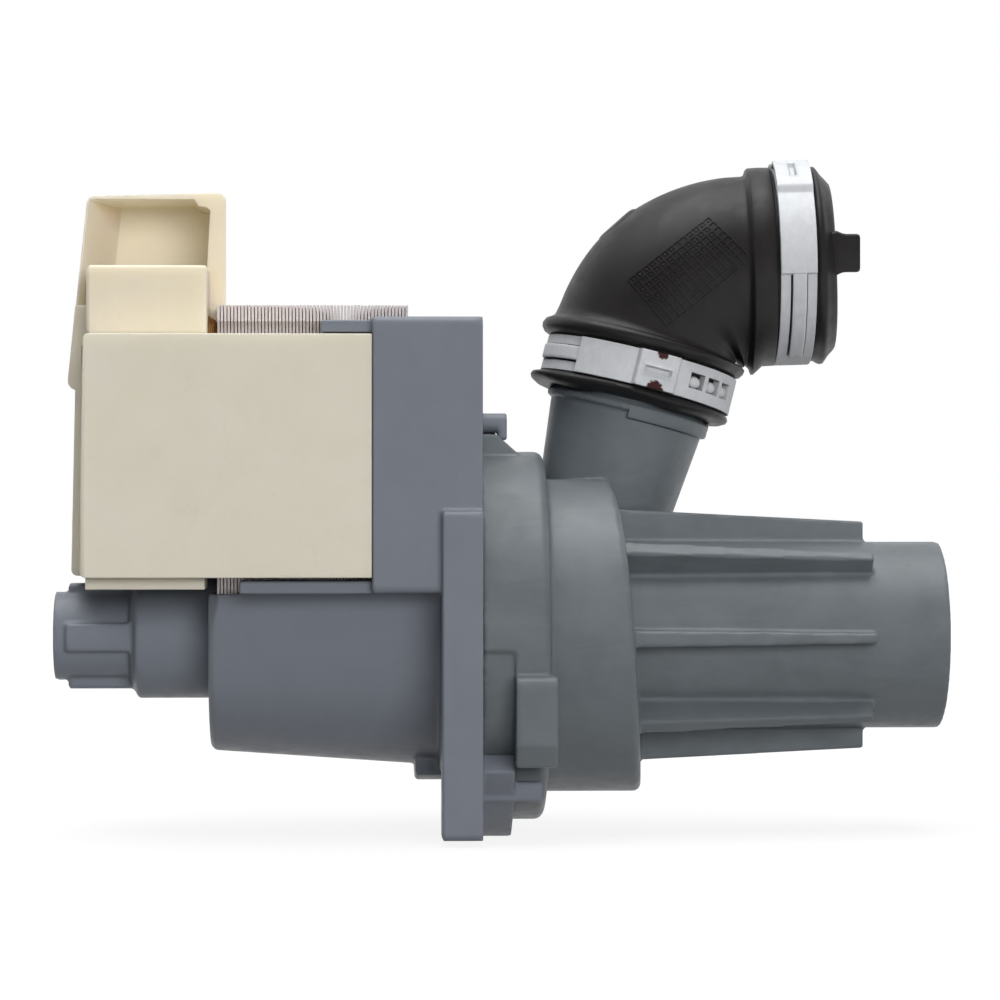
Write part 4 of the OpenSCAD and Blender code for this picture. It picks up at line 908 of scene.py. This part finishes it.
# Magnetic core and coils

CORE_W = 19.6
CORE_TOP = 62.3
POLE_R = 12.2
WINDOW_Y = 8.2
WINDOW_Z = 50.3
SLOT_Y = 1.2
GROOVE = (CORE_W + 1.4, CORE_TOP - 5.3, 2.7)
SHEETS = 56
SHEET_GAP = 0.17


def arc(cy, cz, r, a0, a1, steps):
    return [(cy + r * math.cos(math.radians(a)), cz + r * math.sin(math.radians(a)))
            for a in np.linspace(a0, a1, steps)]


def sheet_outline():
    """Outline of one sheet as a single loop of (y, z), through the slot under the rotor."""
    slot_in = math.degrees(math.acos(SLOT_Y / POLE_R))
    slot_out = math.degrees(math.acos(SLOT_Y / CORE_W))
    mouth = math.degrees(math.acos(WINDOW_Y / POLE_R))
    gy, gz, gr = GROOVE
    open_a = math.degrees(math.acos((gy - CORE_W) / gr))
    right = arc(0, 0, CORE_W, -slot_out, 0, 24)
    right += arc(gy, gz, gr, 180 + open_a, 180 - open_a, 9)
    right += [(CORE_W, CORE_TOP)]
    outer = right + [(-y, z) for y, z in reversed(right)]
    left = arc(0, 0, POLE_R, -180 + slot_in, -180 - mouth, 18)
    inner = left + [(-WINDOW_Y, WINDOW_Z), (WINDOW_Y, WINDOW_Z)] + [(-y, z) for y, z in reversed(left)]
    return outer + inner


def make_sheets():
    x0, x1 = (c.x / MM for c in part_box("stator_core"))
    pitch = (x1 - x0) / SHEETS
    outline = sheet_outline()
    shells = Shells()
    shift = random.Random(3)
    for i in range(SHEETS):
        dy, dz = shift.uniform(-0.04, 0.04), shift.uniform(-0.06, 0)
        a = x0 + i * pitch + SHEET_GAP / 2
        b = a + pitch - SHEET_GAP
        shells.loft([[(x, y * 0.997 + dy, z + dz) for y, z in outline] for x in (a, b)])
    piece("core_sheets", shells, "core_steel", replaces=("stator_core",), smooth=25)


def make_winding(name, node):
    """Rows of wire round the bobbin, as a stack of half-round turns."""
    lo, hi = (np.array(c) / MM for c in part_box(node))
    middle = (lo + hi) / 2
    half = (hi - lo) / 2
    corner, wire = 4.5, 0.62

    def outline(inset, z):
        r = corner - inset
        ring = []
        for sx, sy, a0 in ((1, 1, 0), (-1, 1, 90), (-1, -1, 180), (1, -1, 270)):
            for i in range(7):
                a = math.radians(a0 + 90 * i / 6)
                ring.append((middle[0] + sx * (half[0] - corner) + r * math.cos(a),
                             middle[1] + sy * (half[1] - corner) + r * math.sin(a), z))
        return ring

    turns = int((hi[2] - lo[2]) / wire)
    pitch = (hi[2] - lo[2]) / turns
    rings = [outline(3.4, lo[2])]
    for i in range(turns):
        for t in (0.04, 0.25, 0.5, 0.75, 0.96):
            bulge = math.sqrt(max(0, 1 - (2 * t - 1) ** 2))
            rings.append(outline(0.5 * wire * (1 - bulge), lo[2] + (i + t) * pitch))
    rings.append(outline(3.4, hi[2]))
    shells = Shells()
    inner = [outline(3.6, z) for z in (hi[2], lo[2])]
    shells.loft(rings + inner, closed=True)
    piece(name, shells, "winding_copper", replaces=(node,), smooth=50)


def tube(shells, points, r, around=8):
    """A wire through a list of points."""
    points = [Vector(p) for p in points]
    rings = []
    for i, p in enumerate(points):
        way = (points[min(i + 1, len(points) - 1)] - points[max(i - 1, 0)]).normalized()
        first = way.cross(Vector((0, 1, 0))).normalized()
        second = way.cross(first)
        rings.append([p + r * (math.cos(a) * first + math.sin(a) * second)
                      for a in np.linspace(0, 2 * math.pi, around, endpoint=False)])
    shells.loft(rings)


LEADS = 4
LEAD_R = 0.27
LEAD_PITCH = 0.4


def make_leads():
    """Ends of the front coil's wire, which come up beside the terminal block and go into its side."""
    shells = Shells()
    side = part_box("terminal_block")[1].x / MM
    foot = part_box("front_coil_cover")[1].z / MM
    for i in range(LEADS):
        x = side + 0.2 + LEAD_PITCH * i
        y = -17.0 + 0.35 * i
        top = foot + 3.7 - 0.25 * i
        way = [(side - 0.4, top + 0.15), (x - 0.15, top + 0.1), (x, top - 0.4), (x + 0.1, foot + 1.9),
               (x - 0.05, foot + 1.3), (x, foot + 0.4), (x - 0.1, foot - 0.3)]
        tube(shells, [(px, y, pz) for px, pz in way], LEAD_R)
    piece("coil_leads", shells, "winding_copper", smooth=60)


# The object

for row in frame["record"]["subparts"]:
    dress(frame["nodes"][row["node"]], MATERIALS[row["material_slot"]])
for name, (node, slot) in MOULDINGS.items():
    moulding(name, node, slot)
for name, settings in BOXY_MOULDINGS.items():
    bevelled(name, *settings)
make_hose()
make_collar()
make_clamps()
make_sheets()
make_winding("front_coil", "front_winding")
make_winding("rear_coil", "rear_winding")
make_leads()


# Stage, light and camera

floor_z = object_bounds()[0].z - 0.2 * MM
FLOOR_HALF = 8.0
FLOOR_SEEN = 0.87
FLOOR_PALE = 0.95
FLOOR_SHADE = 0.08


def stage_plane():
    """Pale floor that the camera sees nearly white, with the object's shadow, and that throws little light back."""
    mesh = bpy.data.meshes.new("floor")
    corners = [(x * FLOOR_HALF, y * FLOOR_HALF, floor_z) for x, y in ((-1, -1), (1, -1), (1, 1), (-1, 1))]
    mesh.from_pydata(corners, [], [(0, 1, 2, 3)])
    floor = bpy.data.objects.new("floor", mesh)
    bpy.context.scene.collection.objects.link(floor)
    s = Surface("floor_paper")
    rays = s.add("ShaderNodeLightPath")
    mirrored = s.math("MAXIMUM", rays.outputs["Is Glossy Ray"], rays.outputs["Is Transmission Ray"])
    seen = s.math("MAXIMUM", rays.outputs["Is Camera Ray"], mirrored)
    shade_grey, pale = ((level, level, level, 1) for level in (FLOOR_SHADE, FLOOR_PALE))
    s.finish(s.mix(seen, shade_grey, pale), 0.9, specular=0.0)
    glow = s.add("ShaderNodeEmission")
    glow.inputs["Color"].default_value = (1, 1, 1, 1)
    both = s.add("ShaderNodeMixShader")
    s.link(s.math("MULTIPLY", seen, FLOOR_SEEN), both.inputs[0])
    s.link(s.shader.outputs[0], both.inputs[1])
    s.link(glow.outputs[0], both.inputs[2])
    s.link(both.outputs[0], s.out.inputs[0])
    mesh.materials.append(s.material)


def world():
    """White to the camera; to the object, a white back wall that dims towards the camera's side."""
    w = bpy.data.worlds.new("studio")
    bpy.context.scene.world = w
    w.use_nodes = True
    nodes, links = w.node_tree.nodes, w.node_tree.links
    nodes.clear()
    out = nodes.new("ShaderNodeOutputWorld")
    place = nodes.new("ShaderNodeTexCoord")
    axes = nodes.new("ShaderNodeSeparateXYZ")
    links.new(place.outputs["Generated"], axes.inputs[0])
    level = nodes.new("ShaderNodeMapRange")
    links.new(axes.outputs["Y"], level.inputs[0])
    for i, v in enumerate((-0.2, 0.5, 0.08, 0.9), 1):
        level.inputs[i].default_value = v
    room = nodes.new("ShaderNodeBackground")
    links.new(level.outputs[0], room.inputs["Strength"])
    white = nodes.new("ShaderNodeBackground")
    rays = nodes.new("ShaderNodeLightPath")

    def combine(operation, a, b):
        node = nodes.new("ShaderNodeMath")
        node.operation = operation
        links.new(a, node.inputs[0])
        links.new(b, node.inputs[1])
        return node.outputs[0]

    behind = nodes.new("ShaderNodeMath")
    behind.operation = "GREATER_THAN"
    links.new(axes.outputs["Y"], behind.inputs[0])
    behind.inputs[1].default_value = 0.3
    gloss = combine("MAXIMUM", rays.outputs["Is Glossy Ray"], rays.outputs["Is Transmission Ray"])
    seen = combine("MAXIMUM", rays.outputs["Is Camera Ray"], combine("MULTIPLY", gloss, behind.outputs[0]))
    both = nodes.new("ShaderNodeMixShader")
    links.new(seen, both.inputs[0])
    links.new(room.outputs[0], both.inputs[1])
    links.new(white.outputs[0], both.inputs[2])
    links.new(both.outputs[0], out.inputs[0])
    for node, colour in ((room, (0.97, 0.985, 1.0, 1)), (white, (1, 1, 1, 1))):
        node.inputs["Color"].default_value = colour


def far_lamp(name, direction, strength, spread, glossy=True):
    """Soft light from a direction, even over the whole floor; strength 1 lights a facing surface to its colour."""
    data = bpy.data.lights.new(name, "SUN")
    data.energy = strength * math.pi
    data.angle = math.radians(spread)
    lamp = bpy.data.objects.new(name, data)
    bpy.context.scene.collection.objects.link(lamp)
    lamp.visible_glossy = glossy
    lamp.rotation_euler = Vector(direction).to_track_quat("Z", "Y").to_euler()


CAMERA_TURN = math.radians(-2.4)
CAMERA_DISTANCE = 711
CAMERA_TARGET = Vector((-84.27, 0, 25.95))
CAMERA_LENS = 133.2


def camera():
    """Level camera, turned a little to the side as in the photograph."""
    data = bpy.data.cameras.new("camera")
    data.sensor_width = 36
    data.lens = CAMERA_LENS
    data.clip_start, data.clip_end = 0.01, 50
    obj = bpy.data.objects.new("camera", data)
    bpy.context.scene.collection.objects.link(obj)
    back = Vector((math.sin(CAMERA_TURN), -math.cos(CAMERA_TURN), 0))
    obj.location = (CAMERA_TARGET + CAMERA_DISTANCE * back) * MM
    obj.rotation_euler = (math.pi / 2, 0, CAMERA_TURN)
    bpy.context.scene.camera = obj


stage_plane()
world()
far_lamp("top", (-0.10, -0.10, 1.0), 0.88, 55)
far_lamp("front", (0.27, -1.0, 0.05), 1.19, 42, glossy=False)
camera()
bpy.context.scene.view_settings.view_transform = "Standard"
